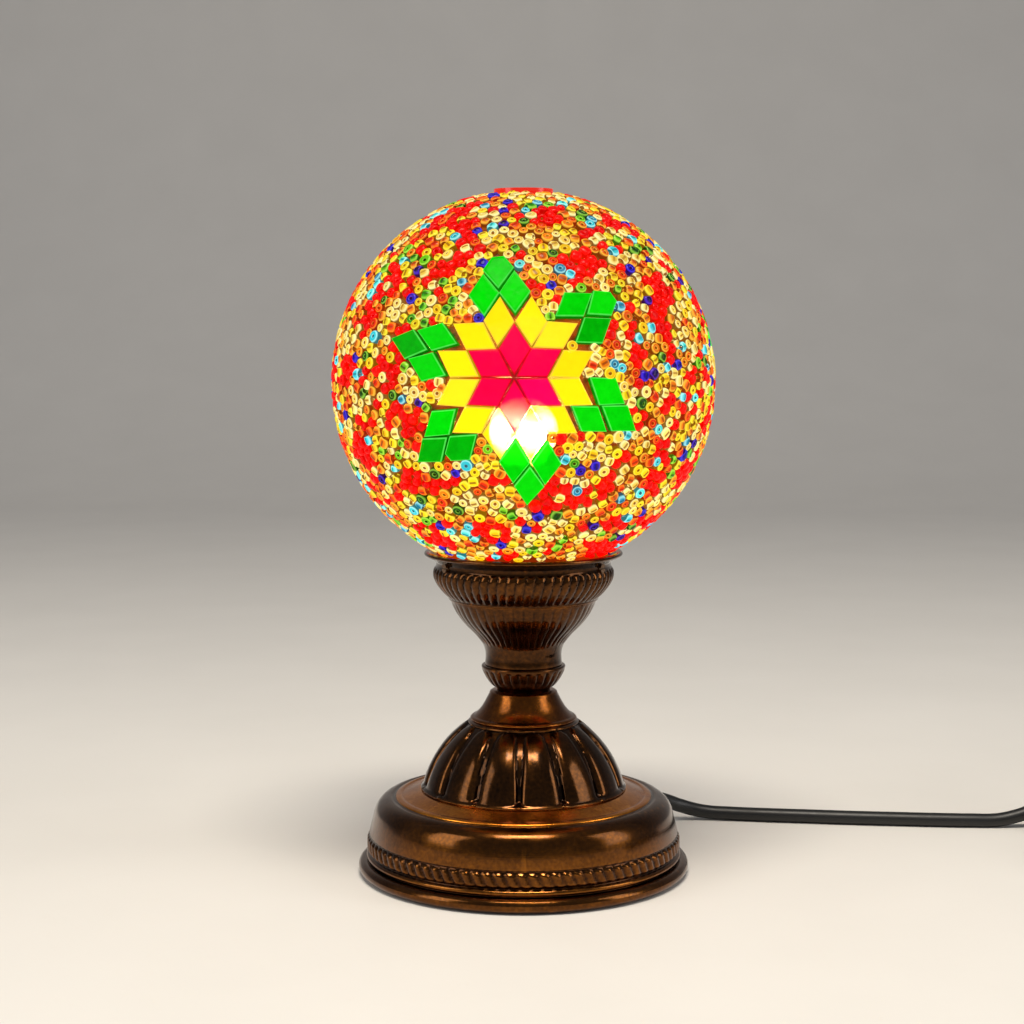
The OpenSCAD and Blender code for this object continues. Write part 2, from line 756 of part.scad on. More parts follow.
felt_pad();
bottom_cover();
cover_screws();
base_drum();
cove_ring();
fluted_dome();
neck_cone();
collar();
cup_bowl();
gallery_ring();
seat_gasket();
threaded_rod();
rod_washers();
rod_nuts();
strain_relief();
inner_lead();
live_wire();
neutral_wire();
holder_cap();
holder_sleeve();
holder_insert();
holder_thread_shell();
holder_contact();
terminal_screws();
glass_globe();
globe_neck();
globe_mouth();
bead_layer();
tiles_red();
tiles_yellow();
tiles_green();
bulb_contact();
bulb_cap();
bulb_insulator();
bulb_glass();
bulb_stem();
bulb_filament();
grub_screw_1();
grub_screw_2();
grub_screw_3();
cord_lead();
cord_link();
cord_coil();
cord_tail();
coil_tie();
switch_lower();
switch_upper();
switch_screws();
switch_contacts();
switch_rocker();
plug_body();
plug_pins();
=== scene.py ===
"""Mosaic glass table lamp: the looks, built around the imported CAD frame. The scene is in metres,
+Z up. The lamp's shapes are written in millimetres and scaled by MM."""

import math

import bpy
import numpy as np
from mathutils import Matrix, Vector, kdtree, noise


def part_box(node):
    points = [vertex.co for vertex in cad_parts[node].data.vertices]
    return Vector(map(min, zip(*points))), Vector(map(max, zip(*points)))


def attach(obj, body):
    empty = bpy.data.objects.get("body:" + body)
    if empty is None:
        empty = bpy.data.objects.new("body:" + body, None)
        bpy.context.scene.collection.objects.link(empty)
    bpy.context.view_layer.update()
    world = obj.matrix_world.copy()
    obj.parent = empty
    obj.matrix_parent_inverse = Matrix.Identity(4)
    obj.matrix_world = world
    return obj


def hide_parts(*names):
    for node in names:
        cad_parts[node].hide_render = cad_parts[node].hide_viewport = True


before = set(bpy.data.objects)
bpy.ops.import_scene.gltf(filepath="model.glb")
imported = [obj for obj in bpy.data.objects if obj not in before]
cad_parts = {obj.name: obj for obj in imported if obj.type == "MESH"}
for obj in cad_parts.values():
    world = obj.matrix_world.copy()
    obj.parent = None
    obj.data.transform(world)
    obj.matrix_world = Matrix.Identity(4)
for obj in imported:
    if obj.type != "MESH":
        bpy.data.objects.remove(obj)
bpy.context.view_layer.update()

MM = 0.001
rng = np.random.default_rng(20)


def span(node):
    """Lowest and highest Z and outer radius, in millimetres, of a CAD node turned about the axis."""
    low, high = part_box(node)
    return low.z / MM, high.z / MM, high.x / MM


def put_in_scene(name, data):
    obj = bpy.data.objects.new(name, data)
    bpy.context.scene.collection.objects.link(obj)
    return obj


# ---------------------------------------------------------------- camera and cord

def make_camera():
    """Faces the lamp from 0.67 m in front and looks down by 5.7 degrees."""
    data = bpy.data.cameras.new("camera")
    data.lens = 71.4
    data.sensor_width = 36
    data.shift_x = -0.0112
    cam = put_in_scene("camera", data)
    cam.location = (0, -0.668, 0.187)
    cam.rotation_euler = (math.radians(90 - 5.7), 0, 0)
    bpy.context.scene.camera = cam


CORD_D = 5 * MM
EXIT = (44.995, 53.623, 10.5)
LEAD = [
    EXIT, (48, 57.2, 10), (52, 61, 8.2), (58, 64.2, 5.4), (66, 65, 3.2), (77, 64, 2.6),
    (90, 62, 2.55), (105, 60, 2.55), (120, 58, 2.55), (135, 56.4, 2.55), (150, 55, 2.55),
    (162, 54.2, 2.55), (172, 54, 2.7), (179, 54, 4.2), (185, 54, 6), (189, 54, 6),
]
LINK = [
    (198, 54, 6), (217, 54, 6), (236, 54, 6), (245, 54, 6), (248.5, 54, 6), (254.5, 51.8, 5.2),
    (260, 47.4, 4.2), (263.6, 41.6, 3.5), (265, 34, 3.1), (265, 24, 3.1), (265, 13, 3.1),
]
TAIL = [
    (265, 2, 13.1), (265, -8, 12.4), (264.4, -20, 9.8), (262, -32, 6.4), (257, -42, 4.4),
    (249.4, -49.6, 4.4), (240.6, -53.4, 5.8), (232, -54, 6.85),
]
COIL_CENTRE = (232, 2)
COIL_SLOTS = [(33, 0), (28, 0), (23, 0), (23, 1), (28, 1), (33, 1), (28, 2), (33, 2)]
COIL_LOW = 3.1
TURN_POINTS = 16


def coil_points():
    """Eight turns, at most three side by side and three high. Each turn keeps its place for most of
    the way round and moves to the next place over its last 28%."""
    points = []
    for k, (r, row) in enumerate(COIL_SLOTS):
        next_r, next_row = COIL_SLOTS[min(k + 1, len(COIL_SLOTS) - 1)]
        for i in range(TURN_POINTS):
            part = i / TURN_POINTS
            s = min(max((part - 0.72) / 0.28, 0), 1)
            s = s * s * (3 - 2 * s)
            radius = r + (next_r - r) * s
            z = COIL_LOW + 5 * (row + (next_row - row) * s)
            a = -2 * math.pi * part
            x = COIL_CENTRE[0] + radius * math.cos(a)
            y = COIL_CENTRE[1] + radius * math.sin(a)
            points.append((x, y, z))
    return points


def make_cord():
    data = bpy.data.curves.new("cord", "CURVE")
    data.dimensions = "3D"
    data.bevel_depth = 1
    data.bevel_resolution = 5
    data.resolution_u = 6
    points = LEAD + LINK + coil_points() + TAIL
    spline = data.splines.new("BEZIER")
    spline.bezier_points.add(len(points) - 1)
    for bezier, p in zip(spline.bezier_points, points):
        bezier.co = Vector(p) * MM
        bezier.radius = CORD_D / 2
        bezier.handle_left_type = bezier.handle_right_type = "AUTO"
    cord = put_in_scene("mains_cord", data)
    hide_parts("cord_lead", "cord_link", "cord_coil", "cord_tail")
    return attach(cord, "base")


make_camera()
mains_cord = make_cord()


# ---------------------------------------------------------------- node material helpers

def lin(r, g, b):
    """A colour given as it looks on a screen, from 0 to 1, as linear RGBA."""
    return tuple(c / 12.92 if c <= 0.04045 else ((c + 0.055) / 1.055) ** 2.4 for c in (r, g, b)) + (1.0,)


class Nodes:
    """A material's node tree, with short calls for the nodes that the materials here share."""

    def __init__(self, name):
        self.mat = bpy.data.materials.new(name)
        self.mat.use_nodes = True
        self.tree = self.mat.node_tree
        self.shader = self.tree.nodes["Principled BSDF"]
        self.output = self.tree.nodes["Material Output"]

    def add(self, kind, **settings):
        node = self.tree.nodes.new("ShaderNode" + kind)
        for key, value in settings.items():
            setattr(node, key, value)
        return node

    def link(self, a, b):
        self.tree.links.new(a, b)

    def feed(self, value, socket):
        """Links another node's output into the socket, or sets the socket to a plain value."""
        if hasattr(value, "links"):
            self.link(value, socket)
        else:
            socket.default_value = value

    def set(self, **values):
        for key, value in values.items():
            self.feed(value, self.shader.inputs[key.replace("_", " ")])

    def place(self):
        return self.add("TexCoord").outputs["Object"]

    def noise(self, scale, detail=3, roughness=0.5, vector=None):
        node = self.add("TexNoise")
        node.inputs["Scale"].default_value = scale
        node.inputs["Detail"].default_value = detail
        node.inputs["Roughness"].default_value = roughness
        self.link(vector or self.place(), node.inputs["Vector"])
        return node.outputs["Fac"]

    def math(self, operation, a, b=0.0):
        node = self.add("Math", operation=operation)
        for socket, value in zip(node.inputs, (a, b)):
            self.feed(value, socket)
        return node.outputs[0]

    def spread(self, value, low, high, from_low=0.0, from_high=1.0):
        node = self.add("MapRange")
        for key, v in (("From Min", from_low), ("From Max", from_high), ("To Min", low), ("To Max", high)):
            node.inputs[key].default_value = v
        self.link(value, node.inputs["Value"])
        return node.outputs["Result"]

    def ramp(self, value, *stops):
        node = self.add("ValToRGB")
        ramp = node.color_ramp
        while len(ramp.elements) < len(stops):
            ramp.elements.new(0.5)
        for element, (position, colour) in zip(ramp.elements, stops):
            element.position = position
            element.color = colour
        self.link(value, node.inputs["Fac"])
        return node.outputs["Color"]

    def mix(self, factor, a, b):
        node = self.add("Mix", data_type="RGBA")
        for socket, value in ((node.inputs[0], factor), (node.inputs[6], a), (node.inputs[7], b)):
            self.feed(value, socket)
        return node.outputs[2]

    def gamma(self, colour, power):
        node = self.add("Gamma")
        self.link(colour, node.inputs[0])
        node.inputs[1].default_value = power
        return node.outputs[0]

    def bump(self, height, strength, distance=0.0001, normal=None):
        node = self.add("Bump")
        node.inputs["Strength"].default_value = strength
        node.inputs["Distance"].default_value = distance
        self.link(height, node.inputs["Height"])
        if normal:
            self.link(normal, node.inputs["Normal"])
        return node.outputs["Normal"]

    def around_axis(self, fine, along):
        """Coordinates that run fine across a turned surface and slowly around it."""
        parts = self.add("SeparateXYZ")
        self.link(self.place(), parts.inputs[0])
        x, y, z = parts.outputs
        squares = self.math("ADD", self.math("MULTIPLY", x, x), self.math("MULTIPLY", y, y))
        radius = self.math("SQRT", squares)
        angle = self.math("ARCTAN2", y, x)
        joined = self.add("CombineXYZ")
        self.link(self.math("MULTIPLY", self.math("ADD", radius, z), fine), joined.inputs[0])
        self.link(self.math("MULTIPLY", angle, along), joined.inputs[1])
        return joined.outputs[0]


def bronze(name, dark, bright, rough, turning=0.0, coat=0.5, edge=0.5):
    """Antique bronze: dark patina worn bright on the edges, under a clear lacquer. turning is how
    strong the lathe's fine rings show, and edge how much of the wear is on edges, not in clouds."""
    m = Nodes(name)
    worn = m.spread(m.add("NewGeometry").outputs["Pointiness"], 0.0, 1.0, 0.47, 0.56)
    cloud = m.noise(60, 5, 0.6)
    speck = m.noise(900, 2, 0.6)
    tone = m.math("ADD", m.math("MULTIPLY", worn, edge), m.math("MULTIPLY", cloud, 1.0 - edge))
    tone = m.math("ADD", tone, m.spread(speck, -0.12, 0.12, 0.3, 0.7))
    middle = [(a + b) / 2 for a, b in zip(dark, bright)]
    colour = m.ramp(tone, (0.18, lin(*dark)), (0.5, lin(*middle)), (0.85, lin(*bright)))
    m.set(Base_Color=colour)
    m.set(Roughness=m.spread(m.noise(140, 4), rough - 0.07, rough + 0.1, 0.3, 0.7))
    normal = m.bump(m.noise(1400, 3, 0.6), 0.12, 0.00006)
    if turning:
        rings = m.noise(1.0, 2, 0.7, m.around_axis(9000, 1.5))
        normal = m.bump(rings, turning, 0.00005, normal)
    m.set(Normal=normal)
    m.set(Metallic=1.0, Coat_Weight=coat, Coat_Roughness=0.12)
    return m.mat


def plated(name, colour, rough, scratch=0.3):
    """Plain plated or bright metal, with handling marks."""
    m = Nodes(name)
    cloud = m.noise(180, 4)
    m.set(Base_Color=m.mix(cloud, lin(*colour), lin(*[c * 0.72 for c in colour])))
    m.set(Roughness=m.spread(m.noise(700, 3), rough - 0.08, rough + 0.12))
    m.set(Normal=m.bump(m.noise(2600, 2), scratch, 0.00003))
    m.set(Metallic=1.0)
    return m.mat


def moulded(name, colour, rough, grain=0.25, scale=2200, coat=0.0):
    """Moulded plastic, rubber or ceramic with a fine surface grain."""
    m = Nodes(name)
    cloud = m.noise(90, 3)
    light = [min(1, c * 1.35 + 0.015) for c in colour]
    m.set(Base_Color=m.mix(cloud, lin(*colour), lin(*light)))
    m.set(Roughness=m.spread(m.noise(400, 3), rough - 0.08, rough + 0.1))
    m.set(Normal=m.bump(m.noise(scale, 3, 0.6), grain, 0.00005))
    m.set(Coat_Weight=coat)
    return m.mat


def felt(name, colour):
    m = Nodes(name)
    fibre = m.noise(1800, 6, 0.8)
    m.set(Base_Color=m.mix(fibre, lin(*[c * 0.6 for c in colour]), lin(*[c * 1.7 for c in colour])))
    m.set(Normal=m.bump(fibre, 0.8, 0.0003))
    m.set(Roughness=0.95, Sheen_Weight=0.4, Sheen_Roughness=0.5)
    return m.mat


def see_through(m, clear, tint):
    """Mixes in a share of clear view, so that the lit bulb shows through. The glow isn't sampled as
    a lamp."""
    glass = m.add("BsdfTransparent")
    glass.inputs["Color"].default_value = tint
    mix = m.add("MixShader")
    m.feed(clear, mix.inputs[0])
    m.link(m.shader.outputs[0], mix.inputs[1])
    m.link(glass.outputs[0], mix.inputs[2])
    m.link(mix.outputs[0], m.output.inputs["Surface"])
    m.mat.cycles.emission_sampling = "NONE"


def glowing(m, colour, glow, clear, tint):
    """Glass that the lamp lights from behind: the colour comes from light passing through, and
    little from light that falls on it."""
    m.set(Emission_Color=colour)
    m.set(Base_Color=m.mix(0.85, colour, lin(0, 0, 0)))
    m.set(Emission_Strength=glow, IOR=1.5)
    see_through(m, clear, tint)
    return m.mat


def tile_glass(name, clear, tint, mottle):
    """Hand-cut stained glass. The mesh's own colours hold its tint, how much of the bulb's light
    reaches it, and the painted shade and highlight on each tile's sides and rounded edge."""
    m = Nodes(name)
    paint = m.add("VertexColor", layer_name="glass").outputs["Color"]
    ripple = m.noise(420, 3, 0.55)
    thick = m.spread(ripple, 0.0, mottle, 0.4, 0.75)
    colour = m.mix(thick, paint, m.gamma(paint, 3.0))
    m.set(Roughness=m.spread(m.noise(300, 2), 0.2, 0.36))
    m.set(Normal=m.bump(ripple, 0.25, 0.0001))
    m.set(Specular_IOR_Level=0.04)
    return glowing(m, colour, 1.55, clear, tint)


def bead_glass(name, slit_colour, outline_shade_colour, rim_light_colour, contrast):
    """Seed beads lit from behind, with their light and shade painted into the colour: deeper in the
    middle, a painted bright rim of light where the wall curves away, painted shade as a dark outline at
    the very edge, the hole seen through the glass painted as a thin dark slit, and painted shade lining
    the hole. contrast is how far the slit and the outline darken."""
    m = Nodes(name)
    paint = m.add("VertexColor", layer_name="glass").outputs["Color"]
    own = m.add("VertexColor", layer_name="bead")
    parts = m.add("SeparateColor")
    m.link(own.outputs["Color"], parts.inputs[0])
    # The painted dark slit where the hole shows through the glass, in the bead's own coordinates across
    # and along its hole.
    across = m.math("ABSOLUTE", m.math("SUBTRACT", parts.outputs[0], 0.5))
    along = m.math("ABSOLUTE", m.math("SUBTRACT", parts.outputs[1], 0.5))
    slit = m.math("MULTIPLY", m.spread(across, 1, 0, 0.03, 0.06), m.spread(along, 1, 0, 0.11, 0.16))
    slit = m.math("MULTIPLY", slit, parts.outputs[2])
    # How level the surface lies on the globe: 1 where it faces straight outwards.
    from_middle = m.add("VectorMath", operation="SUBTRACT")
    m.link(m.place(), from_middle.inputs[0])
    from_middle.inputs[1].default_value = (0, 0, GLOBE_Z * MM)
    outwards = m.add("VectorMath", operation="NORMALIZE")
    m.link(from_middle.outputs[0], outwards.inputs[0])
    facing = m.add("VectorMath", operation="DOT_PRODUCT")
    m.link(outwards.outputs[0], facing.inputs[0])
    m.link(m.add("TexCoord").outputs["Normal"], facing.inputs[1])
    level = facing.outputs["Value"]
    # Painted light and shade: from the deep middle to the painted bright rim of light and the painted dark
    # edge, then the painted slit and the painted shade lining the hole.
    deep = m.gamma(paint, 1.0 + 0.6 * contrast)
    rim = m.mix(0.45, m.gamma(paint, 0.85), lin(*rim_light_colour))
    colour = m.mix(m.spread(level, 0, 1, 0.93, 0.72), deep, rim)
    edge = m.mix(contrast, m.gamma(paint, 1.6), lin(*outline_shade_colour))
    colour = m.mix(m.spread(level, 0, 1, 0.62, 0.34), colour, edge)
    shade = m.math("MAXIMUM", slit, own.outputs["Alpha"])
    colour = m.mix(m.math("MULTIPLY", shade, contrast), colour, lin(*slit_colour))
    m.set(Roughness=m.spread(m.noise(500, 2), 0.22, 0.4))
    m.set(Normal=m.bump(m.noise(1500, 2), 0.1, 0.00005))
    m.set(Specular_IOR_Level=0.15)
    return glowing(m, colour, 1.2, 0.12, lin(1, 0.9, 0.7))


def grout_glass():
    """Clear amber grout, clouded darker in places. The mesh's own alpha is how clear it is."""
    m = Nodes("grout")
    own = m.add("VertexColor", layer_name="glass")
    paint = own.outputs["Color"]
    cloud = m.noise(160, 4, 0.6)
    colour = m.mix(m.spread(cloud, 0.0, 0.8, 0.4, 0.62), paint, m.gamma(paint, 1.8))
    m.set(Roughness=m.spread(cloud, 0.3, 0.5))
    m.set(Normal=m.bump(m.noise(700, 3), 0.5, 0.0002))
    m.set(Specular_IOR_Level=0.3)
    return glowing(m, colour, 1.0, own.outputs["Alpha"], lin(1, 0.97, 0.9))


# ---------------------------------------------------------------- mesh helpers

def new_object(name, mesh, body, slot, mat, *nodes):
    mesh.materials.append(mat)
    obj = put_in_scene(name, mesh)
    if nodes:
        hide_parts(*nodes)
    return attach(obj, body)


def make_mesh(name, points, faces, smooth_angle):
    mesh = bpy.data.meshes.new(name)
    mesh.from_pydata((np.asarray(points) * MM).tolist(), [], faces)
    mesh.validate()
    mesh.shade_smooth()
    mesh.set_sharp_from_angle(angle=math.radians(smooth_angle))
    return mesh


def rounded(outline, radius, steps=3):
    """The closed outline with each corner cut back by radius and rounded. A point may carry its own
    radius as a third number."""
    made = []
    count = len(outline)
    for i, corner in enumerate(outline):
        here = np.array(corner[:2], float)
        before = np.array(outline[i - 1][:2], float) - here
        after = np.array(outline[(i + 1) % count][:2], float) - here
        r = corner[2] if len(corner) > 2 else radius
        cut = min(r, np.linalg.norm(before) * 0.45, np.linalg.norm(after) * 0.45)
        a = here + before / np.linalg.norm(before) * cut
        b = here + after / np.linalg.norm(after) * cut
        for k in range(steps + 1):
            t = k / steps
            made.append(tuple((1 - t) ** 2 * a + 2 * t * (1 - t) * here + t * t * b))
    return made


def dense(outline, step, low, high):
    """The closed outline with points added so that none lie further apart than step between the
    heights low and high."""
    made = []
    for (r0, z0), (r1, z1) in zip(outline, outline[1:] + outline[:1]):
        made.append((r0, z0))
        length = math.hypot(r1 - r0, z1 - z0)
        if length > step and max(z0, z1) > low and min(z0, z1) < high:
            count = math.ceil(length / step)
            made += [(r0 + (r1 - r0) * k / count, z0 + (z1 - z0) * k / count) for k in range(1, count)]
    return made


def arc(r, z, radius, start, end, steps):
    return [
        (r + radius * math.cos(math.radians(start + (end - start) * k / steps)),
         z + radius * math.sin(math.radians(start + (end - start) * k / steps)))
        for k in range(steps + 1)
    ]


def turned(name, outline, steps, shape=None, smooth_angle=40):
    """A closed mesh turned about the axis from a closed outline of (radius, height). shape gives a
    change of radius from the radii, the heights and the angles."""
    rz = np.array(outline, float)
    angle = np.arange(steps) * 2 * np.pi / steps
    r = np.repeat(rz[:, 0, None], steps, 1)
    z = np.repeat(rz[:, 1, None], steps, 1)
    a = np.repeat(angle[None, :], len(rz), 0)
    if shape:
        r = r + shape(r, z, a)
    points = np.stack([r * np.cos(a), r * np.sin(a), z], -1).reshape(-1, 3)
    i = np.arange(len(rz))[:, None]
    k = np.arange(steps)[None, :]
    j, m = (i + 1) % len(rz), (k + 1) % steps
    faces = np.stack([i * steps + k, i * steps + m, j * steps + m, j * steps + k], -1).reshape(-1, 4)
    return make_mesh(name, points, faces.tolist(), smooth_angle)


def window(value, low, high, soft):
    """0 outside low and high, rising to 1 over soft inside each edge."""
    return np.clip((value - low) / soft, 0, 1) * np.clip((high - value) / soft, 0, 1)


def ridges(phase):
    """From 0 in narrow grooves to 1 on rounded ridges, one ridge for each turn of phase."""
    return np.abs(np.sin(phase / 2)) ** 0.8


# ---------------------------------------------------------------- bronze foot, stem and cup

bronze_mat = bronze("bronze", (0.10, 0.05, 0.012), (0.48, 0.28, 0.08), 0.15, coat=0.15)
drum_mat = bronze("bronze_drum", (0.17, 0.085, 0.02), (0.52, 0.31, 0.085), 0.17, 0.25, 0.15)
# The cove ring is a brighter gold than the rest of the bronze: partly its own polish, partly a painted
# reflection of the lit globe above it.
cove_polish_and_reflection_mat = bronze("bronze_cove_polish_and_reflection", (0.60, 0.32, 0.07), (0.96, 0.62, 0.18), 0.2, 0.5, 0.1, 0.3)
cone_mat = bronze("bronze_cone", (0.26, 0.125, 0.03), (0.62, 0.36, 0.10), 0.2, 0.5, 0.1, 0.3)

_, DRUM_TOP, FOOT_R = span("base_drum")
DRUM_R = FOOT_R - 3.0
ROPE_RIBS = 90
LOBES = 14
FRONT_GROOVE = math.radians(267.4)


def make_drum():
    """Foot drum: rolled edge, plain fillet, band of slanted rope ribs, satin wall, round shoulder."""
    inner = [
        (5.2, DRUM_TOP), (5.2, DRUM_TOP - 2.6), (DRUM_R - 8.6, DRUM_TOP - 2.6), (DRUM_R - 3.6, 17),
        (DRUM_R - 3.6, 3), (FOOT_R - 4.4, 3),
    ]
    outer = (
        [(FOOT_R - 4.4, 0.3)]
        + arc(FOOT_R - 2.3, 2.6, 2.3, -90, 100, 12)
        + [(DRUM_R - 0.9, 5.0), (DRUM_R + 0.3, 5.5), (DRUM_R + 0.3, 6.8), (DRUM_R - 0.9, 7.2)]
        + [(DRUM_R - 0.9, 7.6), (DRUM_R - 0.3, 8.3), (DRUM_R - 0.3, 11.9), (DRUM_R - 0.9, 12.6)]
        + [(DRUM_R - 0.9, 13.1), (DRUM_R - 0.6, 13.4)]
        + arc(DRUM_R - 8.6, 19, 6.4, 18, 84, 12)
        + [(DRUM_R - 8.9, DRUM_TOP - 0.3), (DRUM_R - 9.4, DRUM_TOP)]
    )
    outline = dense(rounded(outer + inner, 0.3, 1), 0.45, 7.3, 12.9)

    def rope(r, z, a):
        band = window(z, 7.5, 12.7, 0.7) * (r > DRUM_R - 1.5)
        return 0.75 * band * (ridges(a * ROPE_RIBS + (z - 10) * 0.75) - 0.45)

    mesh = turned("drum", outline, ROPE_RIBS * 8, rope)
    return new_object("drum", mesh, "base", "bronze", drum_mat, "base_drum")


def make_cove():
    low, high, r = span("cove_ring")
    outer = [
        (30, low, 0), (r - 0.5, low), (r, low + 0.5), (r - 0.2, low + 1.1), (r - 1.2, low + 1.4),
        (r - 1.8, low + 1.5), (r - 2.4, low + 1.2), (r - 3.6, low + 1.6), (r - 5.4, low + 2.3),
        (r - 7.2, low + 3.0), (34.8, high - 0.1), (30, high, 0),
    ]
    mesh = turned("cove", rounded(outer, 0.4), 256)
    return new_object("cove", mesh, "base", "cove_bronze", cove_polish_and_reflection_mat, "cove_ring")


def make_dome():
    """Fluted dome: round-topped lobes that end below a small step, on a thin lip with a bead in
    each groove."""
    low, high, _ = span("fluted_dome")
    arc_z, arc_r = 20, math.hypot(35.9, 8)

    def dome_r(z):
        """The side's radius: 2 mm inside an arc centred on the axis at arc_z."""
        return math.sqrt(arc_r**2 - (z - arc_z) ** 2) - 2

    side = [(dome_r(z), z) for z in np.linspace(low + 1.4, high - 0.6, 46)]
    outer = [(34.2, low), (34.3, low + 0.6), (33.9, low + 1.0)] + side + [(17.9, high - 0.3), (17.4, high)]
    inner = [
        (5.2, high), (5.2, high - 3.4), (14, high - 3.4), (dome_r(44) - 4, 44), (dome_r(37) - 3.8, 37),
        (29.6, low),
    ]

    def lobes(r, z, a):
        outside = r > np.interp(z, [low, 37, 44, high], [31.5, dome_r(37) - 2, dome_r(44) - 2, 12])
        turn = (a - FRONT_GROOVE) * LOBES / (2 * np.pi)
        u = np.abs(2 * (turn - np.floor(turn)) - 1)
        t = (z - low - 1) / (high - low - 2.2)
        shrink = np.clip(1 - (np.clip(t - 0.88, 0, 0.12) / 0.12) ** 3, 0.0001, 1) ** 0.4
        narrow = 0.93 - 0.24 * np.clip(t, 0, 1) ** 1.5
        across = np.clip(u / (narrow * shrink), 0, 1)
        bulge = (1 - across**3.4) ** (1 / 2.4)
        depth = 2.3 * np.clip(1.1 - 0.5 * t, 0.4, 1) * window(z, low + 0.9, high + 5, 1.2)
        depth = depth * np.clip((high - 0.7 - z) / 0.8, 0, 1)
        bead = 0.7 * np.clip((u - 0.86) / 0.1, 0, 1) * window(z, low + 0.5, low + 2.2, 0.6)
        return outside * (depth * (bulge - 1) + bead)

    mesh = turned("dome", rounded(outer, 0.05, 1) + inner, LOBES * 30, lobes, 60)
    return new_object("dome", mesh, "base", "bronze", bronze_mat, "fluted_dome")


def make_cone():
    low, high, _ = span("neck_cone")
    outer = [
        (5.2, low, 0), (17.6, low), (17.8, low + 0.5), (17.2, low + 1.1), (16.4, low + 1.3, 0.8),
        (14.2, low + 3.5, 1.5), (12.6, low + 6.2, 1.5), (11.4, low + 8.6, 1), (11.2, high - 0.7),
        (10.0, high, 0.4), (5.2, high, 0),
    ]
    mesh = turned("cone", rounded(outer, 0.3, 4), 192)
    return new_object("cone", mesh, "base", "satin_bronze", cone_mat, "neck_cone")


def make_collar():
    low, high, r = span("collar")
    outer = [
        (5.2, low, 0), (8.8, low), (9.2, low + 0.9), (10.6, low + 1.6), (12.2, low + 3.7, 1),
        (13.3, low + 5.8, 1), (r - 0.1, low + 7.2), (r, high - 0.4), (r - 0.5, high), (5.2, high, 0),
    ]
    outline = dense(rounded(outer, 0.3), 0.5, low + 1, high - 1)

    def flutes(r, z, a):
        band = window(z, low + 1.2, high - 1.1, 0.6) * (r > 8)
        return 0.5 * band * (ridges(a * 26) - 0.8)

    mesh = turned("collar_ring", outline, 26 * 10, flutes)
    return new_object("collar_ring", mesh, "base", "bronze", bronze_mat, "collar")


def make_bowl():
    low, high, r = span("cup_bowl")
    outer = [
        (5.2, low, 0), (12.9, low), (12.6, 72, 1), (12.7, 74.3, 1), (13.4, 76.4, 1), (14.5, 78, 1),
        (16.4, 80.3, 1), (18.6, 82.4, 1), (20.6, 84.6, 1), (22.3, 87, 1), (23.5, 89.4, 1), (r, high),
    ]
    inner = [
        (r - 2.2, high), (r - 3, 89.6), (18.2, 84.8), (14, 81), (10.8, 77.4), (10.4, 75.5), (5.2, 75.5),
    ]
    outline = dense(rounded(outer + inner, 0.3), 0.7, 76, high)

    def flutes(r, z, a):
        wall = r > np.interp(z, [75, 77.4, 81, 84.8, 89.6, high], [11.5, 12, 15, 19.3, 22.4, 23.2])
        band = window(z, 76.5, high - 0.3, 1.5) * wall
        return 0.28 * band * (ridges(a * 44) - 0.8)

    mesh = turned("bowl", outline, 44 * 10, flutes)
    return new_object("bowl", mesh, "base", "bronze", bronze_mat, "cup_bowl")


def make_gallery():
    low, high, r = span("gallery_ring")
    outer = [
        (24.9, low), (24.9, low + 0.7), (27, 94.4, 1), (28.8, 96.8, 1), (29.8, 99, 1), (29.8, 101, 1),
        (29.3, 102.2), (28.9, 102.8), (28.9, 104.2), (30.4, 105.3), (r - 0.4, high - 1.4),
        (r, high - 0.9), (r - 0.3, high - 0.2),
    ]
    inner = [
        (r - 1, high), (r - 2.1, high - 0.2), (28.4, 104.6), (27.5, 103.9), (27.5, 97.5),
        (21.5, 97.5), (21.5, low),
    ]
    outline = dense(rounded(outer + inner, 0.3), 0.5, low + 0.5, 102.6)

    def gadroons(r, z, a):
        wall = r > np.interp(z, [low, 97, 103], [23, 28, 28.2])
        band = window(z, low + 0.7, 102.5, 0.8) * wall
        return 0.6 * band * (ridges(a * 60 - (z - 96) * 0.32) - 0.7)

    mesh = turned("gallery", outline, 60 * 10, gadroons)
    return new_object("gallery", mesh, "base", "bronze", bronze_mat, "gallery_ring")


for make in (make_drum, make_cove, make_dome, make_cone, make_collar, make_bowl, make_gallery):
    make()


# ---------------------------------------------------------------- globe: stars of cut glass

GLOBE_Z = 163.0
GLOBE_MIDDLE = np.array([0, 0, GLOBE_Z])
GLASS_R = 60.0
SKIN_R = GLASS_R + 0.1
STAR_R = GLASS_R + 2.7
TOP_R = 62.6
TILE = 10.0
# The tiles' long and short diagonals as shares of the pattern's full rhombus.
TILE_SHARES = {"red": (0.925, 0.98), "yellow": (0.92, 0.975), "green": (0.85, 0.945)}
LONG = TILE * math.sqrt(3) / 2
STAR_TURNS = [-2.5 + 120 * k for k in range(3)]
# How many degrees each star's middle lies above the globe's own middle.
STAR_RISE = 3.5
# The middle of the bulb's ball at rest.
BULB_AT = np.array([0, 0, 147.0])


def on_sphere(points):
    return points / np.linalg.norm(points, axis=1)[:, None]


def light_on(points):
    """How much of the bulb's light reaches points on the globe: about 1 nearest the bulb."""
    away = points - BULB_AT
    far = np.linalg.norm(away, axis=1)
    facing = np.sum(away * on_sphere(points - GLOBE_MIDDLE), 1) / far
    return np.clip((facing * (62.0 / far) ** 2) ** 0.35, 0.72, 1.06)


def direction(degrees):
    return np.array([math.cos(math.radians(degrees)), math.sin(math.radians(degrees))])


# How each arm's three green tiles were laid, as a group: mm further out, mm round, degrees turned.
GREENS_LAID = {
    90: (0.6, 0.4, 4), 150: (0.8, 1.6, 10), 210: (0.6, 0.8, 7),
    270: (0.2, -0.4, -3), 330: (0.8, 0.8, -3), 390: (2.0, 1.2, 8),
}
# The green tiles with their outer tip nipped off: the arm, and the tile's number in its group.
NIPPED = ((90, 2), (210, 0), (390, 2))


